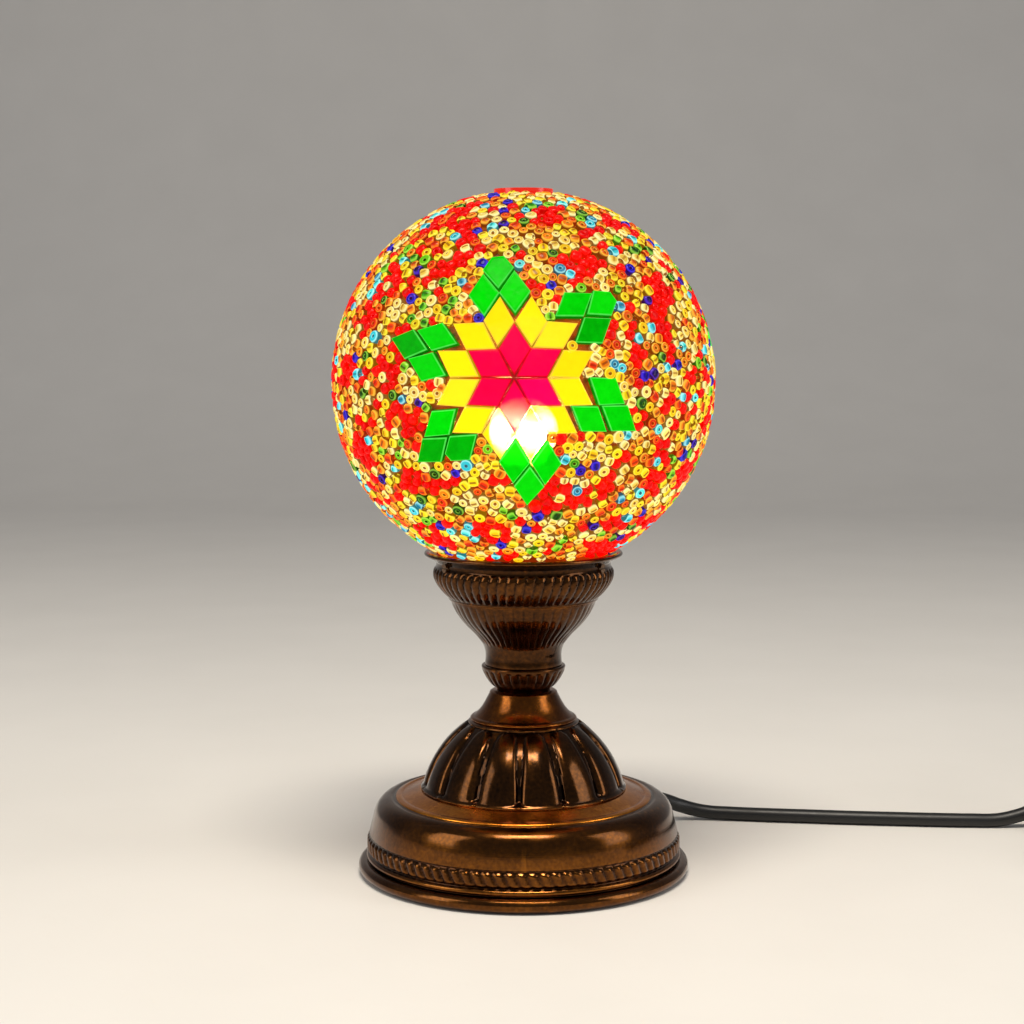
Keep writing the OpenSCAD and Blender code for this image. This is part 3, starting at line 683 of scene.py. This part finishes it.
def star_places():
    """Each rhombus of one flat star, laid by hand a little off the pattern: its colour, its middle,
    its long diagonal's angle and whether its outer tip is nipped off."""
    places = []
    for arm in range(90, 450, 60):
        out = LONG * direction(arm)
        left, right = TILE * direction(arm + 30), TILE * direction(arm - 30)
        for colour, middle in (("red", out), ("yellow", out + left), ("yellow", out + right)):
            places.append((colour, middle + rng.normal(0, 0.08, 2), arm + rng.normal(0, 0.7), False))
        further, round_by, turn = GREENS_LAID[arm]
        steps = np.array([left, right, 2 * out])
        group = out + left + steps.mean(0) + further * direction(arm) + round_by * direction(arm + 90)
        swing = np.array([direction(turn), direction(turn + 90)])
        for k, step in enumerate((steps - steps.mean(0)) @ swing):
            middle = group + step + rng.normal(0, 0.12, 2)
            places.append(("green", middle, arm + turn + rng.normal(0, 1.2), (arm, k) in NIPPED))
    return places


STAR_PLACES = star_places()


def star_frame(turn):
    """Turns a star's own axes, with its middle along +Z, to its place on the globe."""
    upright = Matrix.Rotation(math.radians(90 - STAR_RISE), 3, "X")
    return Matrix.Rotation(math.radians(turn), 3, "Z") @ upright


def tile_frame(turn, middle):
    way = math.atan2(middle[1], middle[0])
    lean = np.linalg.norm(middle) / STAR_R
    wrap = Matrix.Rotation(way, 3, "Z") @ Matrix.Rotation(lean, 3, "Y") @ Matrix.Rotation(-way, 3, "Z")
    return np.array(star_frame(turn) @ wrap)


def cut_outline(colour, angle, nipped):
    """A hand-cut rhombus: corners a little off, with the outer tip cut away if it is nipped."""
    long, half = LONG * TILE_SHARES[colour][0], TILE / 2 * TILE_SHARES[colour][1]
    corners = np.array([(long, 0), (0, half), (-long, 0), (0, -half)]) * rng.uniform(0.985, 1.01)
    corners += rng.normal(0, 0.13, corners.shape)
    points = [tuple(c) for c in corners]
    if nipped:
        tip, left, right = corners[0], corners[3], corners[1]
        keep = rng.uniform(0.6, 0.72)
        points[0:1] = [tuple(left + (tip - left) * keep), tuple(right + (tip - right) * keep)]
    return np.array(points) @ np.array([direction(angle), direction(angle + 90)])


def walk(corners, step=1.2):
    """Points along a closed outline, with its corners kept."""
    made = []
    for a, b in zip(corners, np.roll(corners, -1, 0)):
        count = max(2, round(np.linalg.norm(b - a) / step))
        made += [a + (b - a) * k / count for k in range(count)]
    return np.array(made)


TILE_TINTS = {
    "red": [(0.99, 0.0, 0.29), (0.98, 0.0, 0.33), (0.97, 0.0, 0.37)],
    "yellow": [(1.0, 0.93, 0.05), (1.0, 0.89, 0.05), (0.99, 0.96, 0.12)],
    "green": [(0.0, 0.87, 0.02), (0.03, 0.90, 0.03), (0.0, 0.70, 0.02)],
}
# Painted highlights for the tiles' rounded edges.
BEVEL_HIGHLIGHT_TINTS = {"red": (0.84, 0.02, 0.06), "yellow": (1.0, 0.80, 0.25), "green": (0.35, 0.92, 0.35)}


def one_tile(colour, middle, angle, nipped, turn):
    """One flat tile as rings from its underside round its rounded edge to the middle of its face, with
    painted shade on its sides and a painted highlight on its rounded edge.
    """
    outline = walk(cut_outline(colour, angle, nipped))
    centre = outline.mean(0)
    hammered = rng.uniform(0.02, 0.12)
    tilt = rng.normal(0, 0.012, 2)
    seed = rng.uniform(0, 90)
    edge = [(1.0, SKIN_R), (1.0, TOP_R - 0.75), (0.985, TOP_R - 0.35), (0.95, TOP_R - 0.1), (0.9, TOP_R)]
    rings = edge + [(s, TOP_R) for s in (0.75, 0.55, 0.36, 0.18)]
    points, paint = [], []
    shade = TILE_TINTS[colour][rng.choice(3, p=[0.5, 0.3, 0.2])]
    tint = np.array(lin(*shade)[:3]) * rng.uniform(0.92, 1.08)
    rim = np.array(lin(*BEVEL_HIGHLIGHT_TINTS[colour])[:3])
    for n, (scale, height) in enumerate(rings):
        for p in outline:
            flat = centre + (p - centre) * scale
            z = height
            if n >= 4:
                wave = noise.noise(Vector((flat[0] * 0.9 + seed, flat[1] * 0.9, seed)))
                z = TOP_R + hammered * wave + float(flat @ tilt)
            points.append((flat[0], flat[1], z))
            # Rings 0 and 1, the sides, are painted darker as shade in the gaps between tiles; rings 2 and
            # 3, the rounded edge, carry the painted highlight.
            paint.append(rim if n in (2, 3) else (tint * 0.3 if n < 2 else tint))
    points.append((centre[0], centre[1], TOP_R))
    paint.append(tint)
    count = len(outline)
    faces = [list(range(count))[::-1]]
    for n in range(len(rings) - 1):
        for k in range(count):
            m = (k + 1) % count
            faces.append([n * count + k, n * count + m, (n + 1) * count + m, (n + 1) * count + k])
    last = (len(rings) - 1) * count
    faces += [[last + k, last + (k + 1) % count, last + count] for k in range(count)]
    turned_points = np.array(points) @ tile_frame(turn, middle).T + GLOBE_MIDDLE
    return turned_points, faces, np.array(paint) * light_on(turned_points)[:, None]


def paint_mesh(mesh, colours, alpha=1.0):
    layer = mesh.color_attributes.new("glass", "FLOAT_COLOR", "POINT")
    rgba = np.ones((len(colours), 4), np.float32)
    rgba[:, :3] = colours
    rgba[:, 3] = alpha
    layer.data.foreach_set("color", rgba.ravel())


TILE_CLEAR = {"red": lin(1, 0.70, 0.76), "yellow": lin(1, 0.99, 0.92), "green": lin(0.25, 1, 0.2)}


def make_tiles(colour):
    points, faces, paint = [], [], []
    for turn in STAR_TURNS:
        for kind, middle, angle, nipped in STAR_PLACES:
            if kind != colour:
                continue
            p, f, c = one_tile(colour, middle, angle, nipped, turn)
            base = sum(len(x) for x in points)
            points.append(p)
            paint.append(c)
            faces += [[base + i for i in face] for face in f]
    mesh = make_mesh("star_" + colour, np.concatenate(points), faces, 35)
    paint_mesh(mesh, np.concatenate(paint))
    mat = tile_glass("glass_" + colour, 0.4, TILE_CLEAR[colour], 0.35 if colour == "green" else 0.15)
    return new_object("star_" + colour, mesh, "globe", "tile_" + colour, mat, "tiles_" + colour)


for tile_colour in ("red", "yellow", "green"):
    make_tiles(tile_colour)


# ---------------------------------------------------------------- globe: seed beads and grout

BEAD_R = 61.35
BEAD_STEP = 3.6
BEAD_SIZE = 1.8
NECK_CLEAR = 27.9
MOUTH_CLEAR = 11.4
# A bead's middle is pushed out to this far from a tile, unless it lies further in than the deepest,
# and is dropped if it ends nearer than the least.
TILE_PUSH = 1.9
TILE_LEAST = 1.35
TILE_DEEPEST = -2.4
BEAD_TOP = 62.95
PACKING_STEPS = 14


def flat_on_star(unit):
    """Flat coordinates on the nearest star, in millimetres, of points given as directions from the
    globe's centre."""
    flats, leans = [], []
    for turn in STAR_TURNS:
        own = unit @ np.array(star_frame(turn))
        lean = np.arccos(np.clip(own[:, 2], -1, 1))
        side = np.maximum(np.hypot(own[:, 0], own[:, 1]), 1e-9)
        flats.append(own[:, :2] / side[:, None] * (lean * STAR_R)[:, None])
        leans.append(lean)
    nearest = np.argmin(leans, axis=0)
    return np.array(flats)[nearest, np.arange(len(unit))]


def star_corners():
    """The four corners of each rhombus of the flat star."""
    made = []
    for colour, middle, angle, _ in STAR_PLACES:
        long = TILE_SHARES[colour][0] * LONG * direction(angle)
        short = TILE_SHARES[colour][1] * TILE / 2 * direction(angle + 90)
        made.append([middle + long, middle + short, middle - long, middle - short])
    return np.array(made)


STAR_CORNERS = star_corners()


def outside_star(flat):
    """Distance of flat points outside the star's outline, negative inside, the way outwards, and the
    nearest tile's number."""
    a = STAR_CORNERS[None]
    b = np.roll(STAR_CORNERS, -1, 1)[None]
    p = flat[:, None, None]
    ab = b - a
    t = np.clip(np.sum((p - a) * ab, -1) / np.sum(ab * ab, -1), 0, 1)
    near = a + ab * t[..., None]
    gap = p - near
    far = np.linalg.norm(gap, axis=-1)
    turn = ab[..., 0] * (p - a)[..., 1] - ab[..., 1] * (p - a)[..., 0]
    inside = np.all(turn > 0, axis=2)
    edge = far.min(2)
    pick = far.argmin(2)
    signed = np.where(inside, -edge, edge)
    tile = signed.argmin(1)
    rows = np.arange(len(flat))
    way = gap[rows, tile, pick[rows, tile]]
    way = way / np.maximum(np.linalg.norm(way, axis=1), 1e-9)[:, None]
    value = signed[rows, tile]
    return value, np.where((value < 0)[:, None], -way, way), tile


def push_apart(unit, size):
    """One step that moves beads away from neighbours that they crowd."""
    tree = kdtree.KDTree(len(unit))
    for i, u in enumerate(unit):
        tree.insert(u, i)
    tree.balance()
    push = np.zeros_like(unit)
    for i, u in enumerate(unit):
        for co, j, far in tree.find_n(u, 7)[1:]:
            want = 0.5 * (size[i] + size[j]) * BEAD_STEP / BEAD_R
            if far < want:
                push[i] += (u - np.array(co)) / max(far, 1e-6) * (want - far) * 0.35
    return on_sphere(unit + push)


def push_off_tiles(unit):
    """One step that moves beads at the rim of a star outwards from its tiles."""
    value, way, _ = outside_star(flat_on_star(unit))
    for turn in STAR_TURNS:
        axes = np.array(star_frame(turn))
        own = unit @ axes
        near = (value < TILE_PUSH) & (value > TILE_DEEPEST) & (own[:, 2] > 0.7)
        own[:, :2] += np.where(near, (TILE_PUSH - value) * 0.6, 0)[:, None] * way / BEAD_R
        unit = on_sphere(own @ axes.T)
    return unit


def scatter_beads():
    """Directions of the beads from the globe's centre, packed close but not in rows, and how large
    each bead is. They start on a spiral."""
    total = int(4 * math.pi * BEAD_R**2 / (BEAD_STEP**2 * 0.92))
    k = np.arange(total) + 0.5
    z = 1 - 2 * k / total
    a = math.pi * (3 - math.sqrt(5)) * k
    side = np.sqrt(1 - z * z)
    unit = np.stack([side * np.cos(a), side * np.sin(a), z], 1)
    unit = on_sphere(unit + rng.normal(0, 0.012, unit.shape))
    size = rng.choice([0.86, 1.0, 1.12], total, p=[0.25, 0.55, 0.2])
    for _ in range(PACKING_STEPS):
        unit = push_off_tiles(push_apart(unit, size))
    value, _, _ = outside_star(flat_on_star(unit))
    reach = np.hypot(unit[:, 0], unit[:, 1]) * BEAD_R
    clear = np.where(unit[:, 2] < 0, reach > NECK_CLEAR, reach > MOUTH_CLEAR)
    keep = (value > TILE_LEAST) & clear
    return unit[keep], size[keep]


BEAD_KINDS = {
    "cream": [(0.99, 0.88, 0.46), (0.99, 0.92, 0.58)],
    "amber": [(0.97, 0.62, 0.08), (0.94, 0.52, 0.05)],
    "yellow": [(0.98, 0.83, 0.08), (0.97, 0.88, 0.14)],
    "orange": [(0.95, 0.38, 0.03), (0.92, 0.28, 0.02)],
    "red": [(0.94, 0.02, 0.0), (0.88, 0.0, 0.01)],
    "turquoise": [(0.28, 0.86, 0.90), (0.08, 0.66, 0.78), (0.40, 0.92, 0.90)],
    "green": [(0.30, 0.70, 0.06), (0.08, 0.42, 0.04), (0.54, 0.82, 0.14)],
    "cobalt": [(0.10, 0.04, 0.70), (0.22, 0.02, 0.45), (0.10, 0.16, 0.72)],
}
BEAD_SHARES = [0.23, 0.19, 0.19, 0.10, 0.09, 0.07, 0.08, 0.05]
# For each kind: the colour of the painted dark slit, the painted shade of its outline, its painted bright
# rim of light, and its contrast.
BEAD_SHADES = {
    "cream": ((0.58, 0.34, 0.08), (0.38, 0.19, 0.03), (1.0, 0.96, 0.66), 0.9),
    "amber": ((0.52, 0.23, 0.03), (0.36, 0.15, 0.02), (1.0, 0.80, 0.28), 0.9),
    "yellow": ((0.54, 0.32, 0.03), (0.38, 0.20, 0.02), (1.0, 0.94, 0.28), 0.9),
    "orange": ((0.60, 0.14, 0.02), (0.42, 0.10, 0.02), (1.0, 0.58, 0.14), 0.85),
    "red": ((0.80, 0.0, 0.0), (0.84, 0.03, 0.01), (0.97, 0.05, 0.02), 0.2),
    "turquoise": ((0.04, 0.36, 0.44), (0.04, 0.24, 0.26), (0.80, 1.0, 0.97), 0.8),
    "green": ((0.05, 0.20, 0.02), (0.06, 0.20, 0.02), (0.70, 0.94, 0.32), 0.85),
    "cobalt": ((0.03, 0.01, 0.24), (0.12, 0.02, 0.24), (0.32, 0.24, 0.92), 0.75),
}
BEAD_STEPS = 10


def unit_bead():
    """A rounded seed bead with its hole along X: points, faces and which points line the hole."""
    profile = [
        (1.0, 0.0), (0.95, 0.42), (0.76, 0.67), (0.50, 0.72), (0.31, 0.62), (0.25, 0.5),
        (0.25, -0.5), (0.31, -0.62), (0.50, -0.72), (0.76, -0.67), (0.95, -0.42),
    ]
    points, hole = [], []
    for r, x in profile:
        for k in range(BEAD_STEPS):
            a = 2 * math.pi * k / BEAD_STEPS
            points.append((x, r * math.cos(a), r * math.sin(a)))
            hole.append(r < 0.3)
    faces = []
    for i in range(len(profile)):
        j = (i + 1) % len(profile)
        for k in range(BEAD_STEPS):
            m = (k + 1) % BEAD_STEPS
            faces.append([i * BEAD_STEPS + k, j * BEAD_STEPS + k, j * BEAD_STEPS + m, i * BEAD_STEPS + m])
    return np.array(points), np.array(faces), np.array(hole)


def bead_axes(out):
    """A bead's hole axis, some standing outwards and most lying down, the two directions along the
    globe, across the hole and along it, and how far the hole lies down, from 0 to 1."""
    along = np.cross(out, rng.normal(0, 1, 3))
    along /= np.linalg.norm(along)
    across = np.cross(out, along)
    lean = rng.choice([0.0, math.pi / 2], p=[0.4, 0.6]) + rng.normal(0, 0.2)
    hole = math.cos(lean) * out + math.sin(lean) * along
    return hole, across, along, abs(math.sin(lean))


def bead_colours(unit):
    """A kind for each bead: mixed at random, with drifts of extra reds and of extra creams."""
    names = list(BEAD_KINDS)
    kinds = rng.choice(len(names), len(unit), p=np.array(BEAD_SHARES) / sum(BEAD_SHARES))
    drift = np.array([noise.noise(Vector(u) * 5.5 + Vector((3, 1, 7))) for u in unit])
    kinds[(drift > 0.22) & (rng.random(len(unit)) < 0.8)] = names.index("red")
    kinds[(drift < -0.34) & (rng.random(len(unit)) < 0.4)] = names.index("cream")
    return [names[k] for k in kinds]


def place_bead(shape, in_hole, out, big, kind):
    """One bead's points, its colours, and its own marks: where a point lies across and along the
    hole, whether the slit may show there, and whether it lines the hole."""
    hole, across, along, lying = bead_axes(out)
    r = BEAD_SIZE * big * rng.uniform(0.95, 1.05)
    length = r * rng.uniform(1.0, 1.25)
    middle = out * (BEAD_R + rng.uniform(-0.2, 0.1))
    local = shape * np.array([length, r, r]) @ np.array([hole, across, np.cross(hole, across)])
    points = middle + local
    reach = np.linalg.norm(points, axis=1)
    points = points * (np.minimum(reach, BEAD_TOP) / reach)[:, None] + GLOBE_MIDDLE
    tint = np.array(lin(*BEAD_KINDS[kind][rng.integers(len(BEAD_KINDS[kind]))])[:3])
    paint = tint * rng.uniform(0.85, 1.05) * light_on(points)[:, None]
    marks = np.empty((len(shape), 4))
    marks[:, 0] = 0.5 + 0.25 * (local @ across) / r
    marks[:, 1] = 0.5 + 0.25 * (local @ along) / r
    marks[:, 2] = max(0, (lying - 0.7) / 0.3) * (local @ out > 0.2 * r)
    marks[:, 3] = in_hole
    return points, paint, marks


def make_beads():
    """All beads, joined into one piece for each kind in each half of the globe."""
    unit, size = scatter_beads()
    kinds = bead_colours(unit)
    shape, shape_faces, in_hole = unit_bead()
    mats = {kind: bead_glass("beads_" + kind, *shades) for kind, shades in BEAD_SHADES.items()}
    made = {}
    for out, big, kind in zip(unit, size, kinds):
        group = made.setdefault((kind, "upper" if out[2] > 0 else "lower"), [])
        group.append(place_bead(shape, in_hole, out, big, kind))
    for (kind, half), beads in sorted(made.items(), key=lambda item: item[0]):
        name = "beads_" + kind + "_" + half
        points, paint, marks = (np.concatenate(part) for part in zip(*beads))
        faces = np.concatenate([shape_faces + n * len(shape) for n in range(len(beads))])
        mesh = make_mesh(name, points, faces.tolist(), 180)
        paint_mesh(mesh, paint)
        layer = mesh.color_attributes.new("bead", "FLOAT_COLOR", "POINT")
        layer.data.foreach_set("color", marks.astype(np.float32).ravel())
        new_object(name, mesh, "globe", "bead_glass", mats[kind], "bead_layer")


make_beads()


# Grout under and beside the tiles, tinted by the light through them.
GROUT_TINTS = {"red": (0.60, 0.02, 0.03), "yellow": (0.66, 0.36, 0.03), "green": (0.05, 0.24, 0.02)}


def make_grout():
    """Clear amber grout between the beads and tiles: a thin shell with a soft uneven face."""
    rows, steps = 120, 240
    start = math.asin(NECK_CLEAR / BEAD_R) - math.pi / 2 - 0.01
    stop = math.pi / 2 - math.asin(MOUTH_CLEAR / BEAD_R) + 0.02
    rises = [start + (stop - start) * k / rows for k in range(rows + 1)]

    def skin(radius, angles):
        return [(radius * math.cos(a), GLOBE_Z + radius * math.sin(a)) for a in angles]

    mesh = turned("grout", skin(GLASS_R + 0.75, rises) + skin(SKIN_R, rises[::6])[::-1], steps)
    co = np.empty(len(mesh.vertices) * 3)
    mesh.vertices.foreach_get("co", co)
    points = co.reshape(-1, 3) / MM
    value, _, tile = outside_star(flat_on_star(on_sphere(points - GLOBE_MIDDLE)))
    near = np.array([lin(*GROUT_TINTS[place[0]])[:3] for place in STAR_PLACES])[tile]
    paint = np.where((value < 1.0)[:, None], near, np.array(lin(0.62, 0.32, 0.04)[:3]))
    paint_mesh(mesh, paint * light_on(points)[:, None], np.where(value < 0, 0.9, 0.3))
    return new_object("grout", mesh, "globe", "bead_glass", grout_glass())


make_grout()


# ---------------------------------------------------------------- glass globe and bulb

def globe_glass(name, pale, deep, clear):
    """Blown glass with a clouded amber glow, clear enough to let the bulb show."""
    m = Nodes(name)
    colour = m.mix(m.noise(45, 3), lin(*pale), lin(*deep))
    m.set(Roughness=m.spread(m.noise(200, 3), 0.1, 0.25))
    m.set(Normal=m.bump(m.noise(120, 2), 0.1, 0.0002))
    return glowing(m, colour, 1.5, clear, lin(1, 0.96, 0.88))


def hot_glass():
    """The lit bulb: frosted glass, hottest within 3 mm above and below the middle of its ball, no
    longer hot 11.8 mm away, its rim thin and clear."""
    m = Nodes("bulb_hot")
    parts = m.add("SeparateXYZ")
    m.link(m.place(), parts.inputs[0])
    away = m.math("ABSOLUTE", m.math("SUBTRACT", parts.outputs[2], BULB_AT[2] * MM))
    heat = m.spread(away, 1.0, 0.0, 0.003, 0.0118)
    speck = m.spread(m.noise(500, 2), 0.9, 1.0)
    m.set(Emission_Color=m.mix(m.math("MULTIPLY", heat, speck), lin(1, 0.72, 0.4), lin(1, 0.97, 0.9)))
    m.set(Emission_Strength=m.math("MULTIPLY", m.math("POWER", heat, 1.5), 110.0))
    m.set(Roughness=m.spread(m.noise(900, 2), 0.25, 0.4))
    m.set(Base_Color=lin(0.5, 0.44, 0.36))
    rim = m.add("LayerWeight")
    rim.inputs["Blend"].default_value = 0.35
    see_through(m, m.spread(rim.outputs["Facing"], 0.0, 0.97, 0.1, 0.75), lin(1, 0.98, 0.94))
    return m.mat


def wire_glow():
    m = Nodes("filament_glow")
    colour = m.mix(m.noise(4000, 2), lin(1, 0.75, 0.35), lin(1, 0.9, 0.6))
    m.set(Emission_Color=colour)
    m.set(Emission_Strength=120.0, Metallic=1.0, Roughness=0.4)
    return m.mat


# ---------------------------------------------------------------- finishes of the CAD nodes kept

steel_mat = plated("zinc_steel", (0.72, 0.72, 0.74), 0.35)
brass_mat = plated("contact_brass", (0.86, 0.68, 0.34), 0.28)
nickel_mat = plated("pin_nickel", (0.82, 0.80, 0.76), 0.16, 0.15)
solder_mat = plated("solder", (0.70, 0.70, 0.70), 0.4, 0.6)
screw_mat = bronze("bronze_screw", (0.12, 0.08, 0.04), (0.5, 0.34, 0.16), 0.32)
cord_mat = moulded("pvc_black", (0.028, 0.027, 0.027), 0.42, 0.35, 1500)
rubber_mat = moulded("rubber", (0.035, 0.033, 0.032), 0.7, 0.5)
switch_mat = moulded("switch_plastic", (0.03, 0.03, 0.032), 0.36, 0.5, 3200)
rocker_mat = moulded("rocker_plastic", (0.05, 0.05, 0.053), 0.22, 0.15)
tie_mat = moulded("tie_plastic", (0.12, 0.12, 0.125), 0.5, 0.6)
phenolic_mat = moulded("phenolic", (0.03, 0.028, 0.027), 0.25, 0.2)
ceramic_mat = moulded("ceramic", (0.90, 0.87, 0.78), 0.5, 0.4)
black_glass_mat = moulded("black_glass", (0.03, 0.03, 0.035), 0.12, 0.1, coat=0.5)
stem_mat = moulded("stem_glass", (0.85, 0.86, 0.84), 0.1, 0.1, coat=0.5)

blown_mat = globe_glass("globe_glass", (0.85, 0.30, 0.05), (0.70, 0.18, 0.02), 0.85)
lip_mat = globe_glass("lip_glass", (0.84, 0.10, 0.02), (0.62, 0.04, 0.01), 0.25)

FINISHES = {
    "felt_pad": felt("felt", (0.16, 0.10, 0.06)),
    "bottom_cover": steel_mat, "cover_screws": steel_mat, "threaded_rod": steel_mat,
    "rod_washers": steel_mat, "rod_nuts": steel_mat, "switch_screws": steel_mat,
    "seat_gasket": rubber_mat, "inner_lead": cord_mat, "strain_relief": cord_mat,
    "live_wire": moulded("wire_brown", (0.42, 0.20, 0.08), 0.45),
    "neutral_wire": moulded("wire_blue", (0.10, 0.26, 0.66), 0.45),
    "holder_cap": phenolic_mat, "holder_sleeve": phenolic_mat, "holder_insert": ceramic_mat,
    "holder_thread_shell": brass_mat, "holder_contact": brass_mat, "terminal_screws": brass_mat,
    "switch_contacts": brass_mat, "bulb_cap": brass_mat, "bulb_contact": solder_mat,
    "bulb_insulator": black_glass_mat, "bulb_stem": stem_mat, "bulb_filament": wire_glow(),
    "bulb_glass": hot_glass(), "glass_globe": blown_mat, "globe_neck": blown_mat,
    "globe_mouth": lip_mat,
    "grub_screw_1": screw_mat, "grub_screw_2": screw_mat, "grub_screw_3": screw_mat,
    "coil_tie": tie_mat, "switch_lower": switch_mat, "switch_upper": switch_mat,
    "switch_rocker": rocker_mat, "plug_body": cord_mat, "plug_pins": nickel_mat,
}
for node_name, finish_mat in FINISHES.items():
    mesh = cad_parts[node_name].data
    mesh.materials.clear()
    mesh.materials.append(finish_mat)
    mesh.shade_smooth()
    mesh.set_sharp_from_angle(angle=math.radians(30))
mains_cord.data.materials.append(cord_mat)


# ---------------------------------------------------------------- floor and light

def make_stage():
    """A pale floor that curves up behind the lamp."""
    m = Nodes("floor")
    colour = m.mix(m.noise(14, 4), lin(0.87, 0.86, 0.84), lin(0.84, 0.83, 0.81))
    m.set(Base_Color=colour)
    m.set(Normal=m.bump(m.noise(600, 3), 0.05, 0.0001))
    m.set(Roughness=0.55)
    profile = [(-9.0, 0.0), (1.2, 0.0)]
    bend = np.linspace(0.15, math.pi / 2, 9)
    profile += [(1.2 + 0.8 * math.sin(a), 0.8 - 0.8 * math.cos(a)) for a in bend]
    profile += [(2.0, 3.5)]
    points = [(x, y, z) for x in (-9, 9) for y, z in profile]
    count = len(profile)
    faces = [[k, count + k, count + k + 1, k + 1] for k in range(count - 1)]
    mesh = bpy.data.meshes.new("floor")
    mesh.from_pydata(points, [], faces)
    mesh.shade_smooth()
    mesh.materials.append(m.mat)
    put_in_scene("floor", mesh)


LIGHTS_AIM = Vector((0, 0, 0.1))


def soft_light(name, place, size, power, colour):
    """A rectangular light turned to face LIGHTS_AIM."""
    data = bpy.data.lights.new(name, "AREA")
    data.shape = "RECTANGLE"
    data.size, data.size_y = size
    data.energy = power
    data.color = colour
    light = put_in_scene(name, data)
    light.location = place
    light.rotation_euler = (LIGHTS_AIM - Vector(place)).to_track_quat("-Z", "Y").to_euler()


def make_lights():
    soft_light("overhead", (0.0, -0.4, 1.1), (0.55, 0.22), 13, (1, 0.92, 0.8))
    soft_light("left", (-1.0, -0.5, 0.6), (0.5, 0.9), 5, (1, 0.97, 0.93))
    soft_light("right", (1.0, -0.3, 0.5), (0.4, 0.8), 4, (1, 0.97, 0.93))
    world = bpy.data.worlds.new("world")
    world.use_nodes = True
    world.node_tree.nodes["Background"].inputs["Color"].default_value = (0.9, 0.92, 1.0, 1)
    world.node_tree.nodes["Background"].inputs["Strength"].default_value = 0.25
    bpy.context.scene.world = world
    bpy.context.scene.view_settings.view_transform = "Standard"


make_stage()
make_lights()
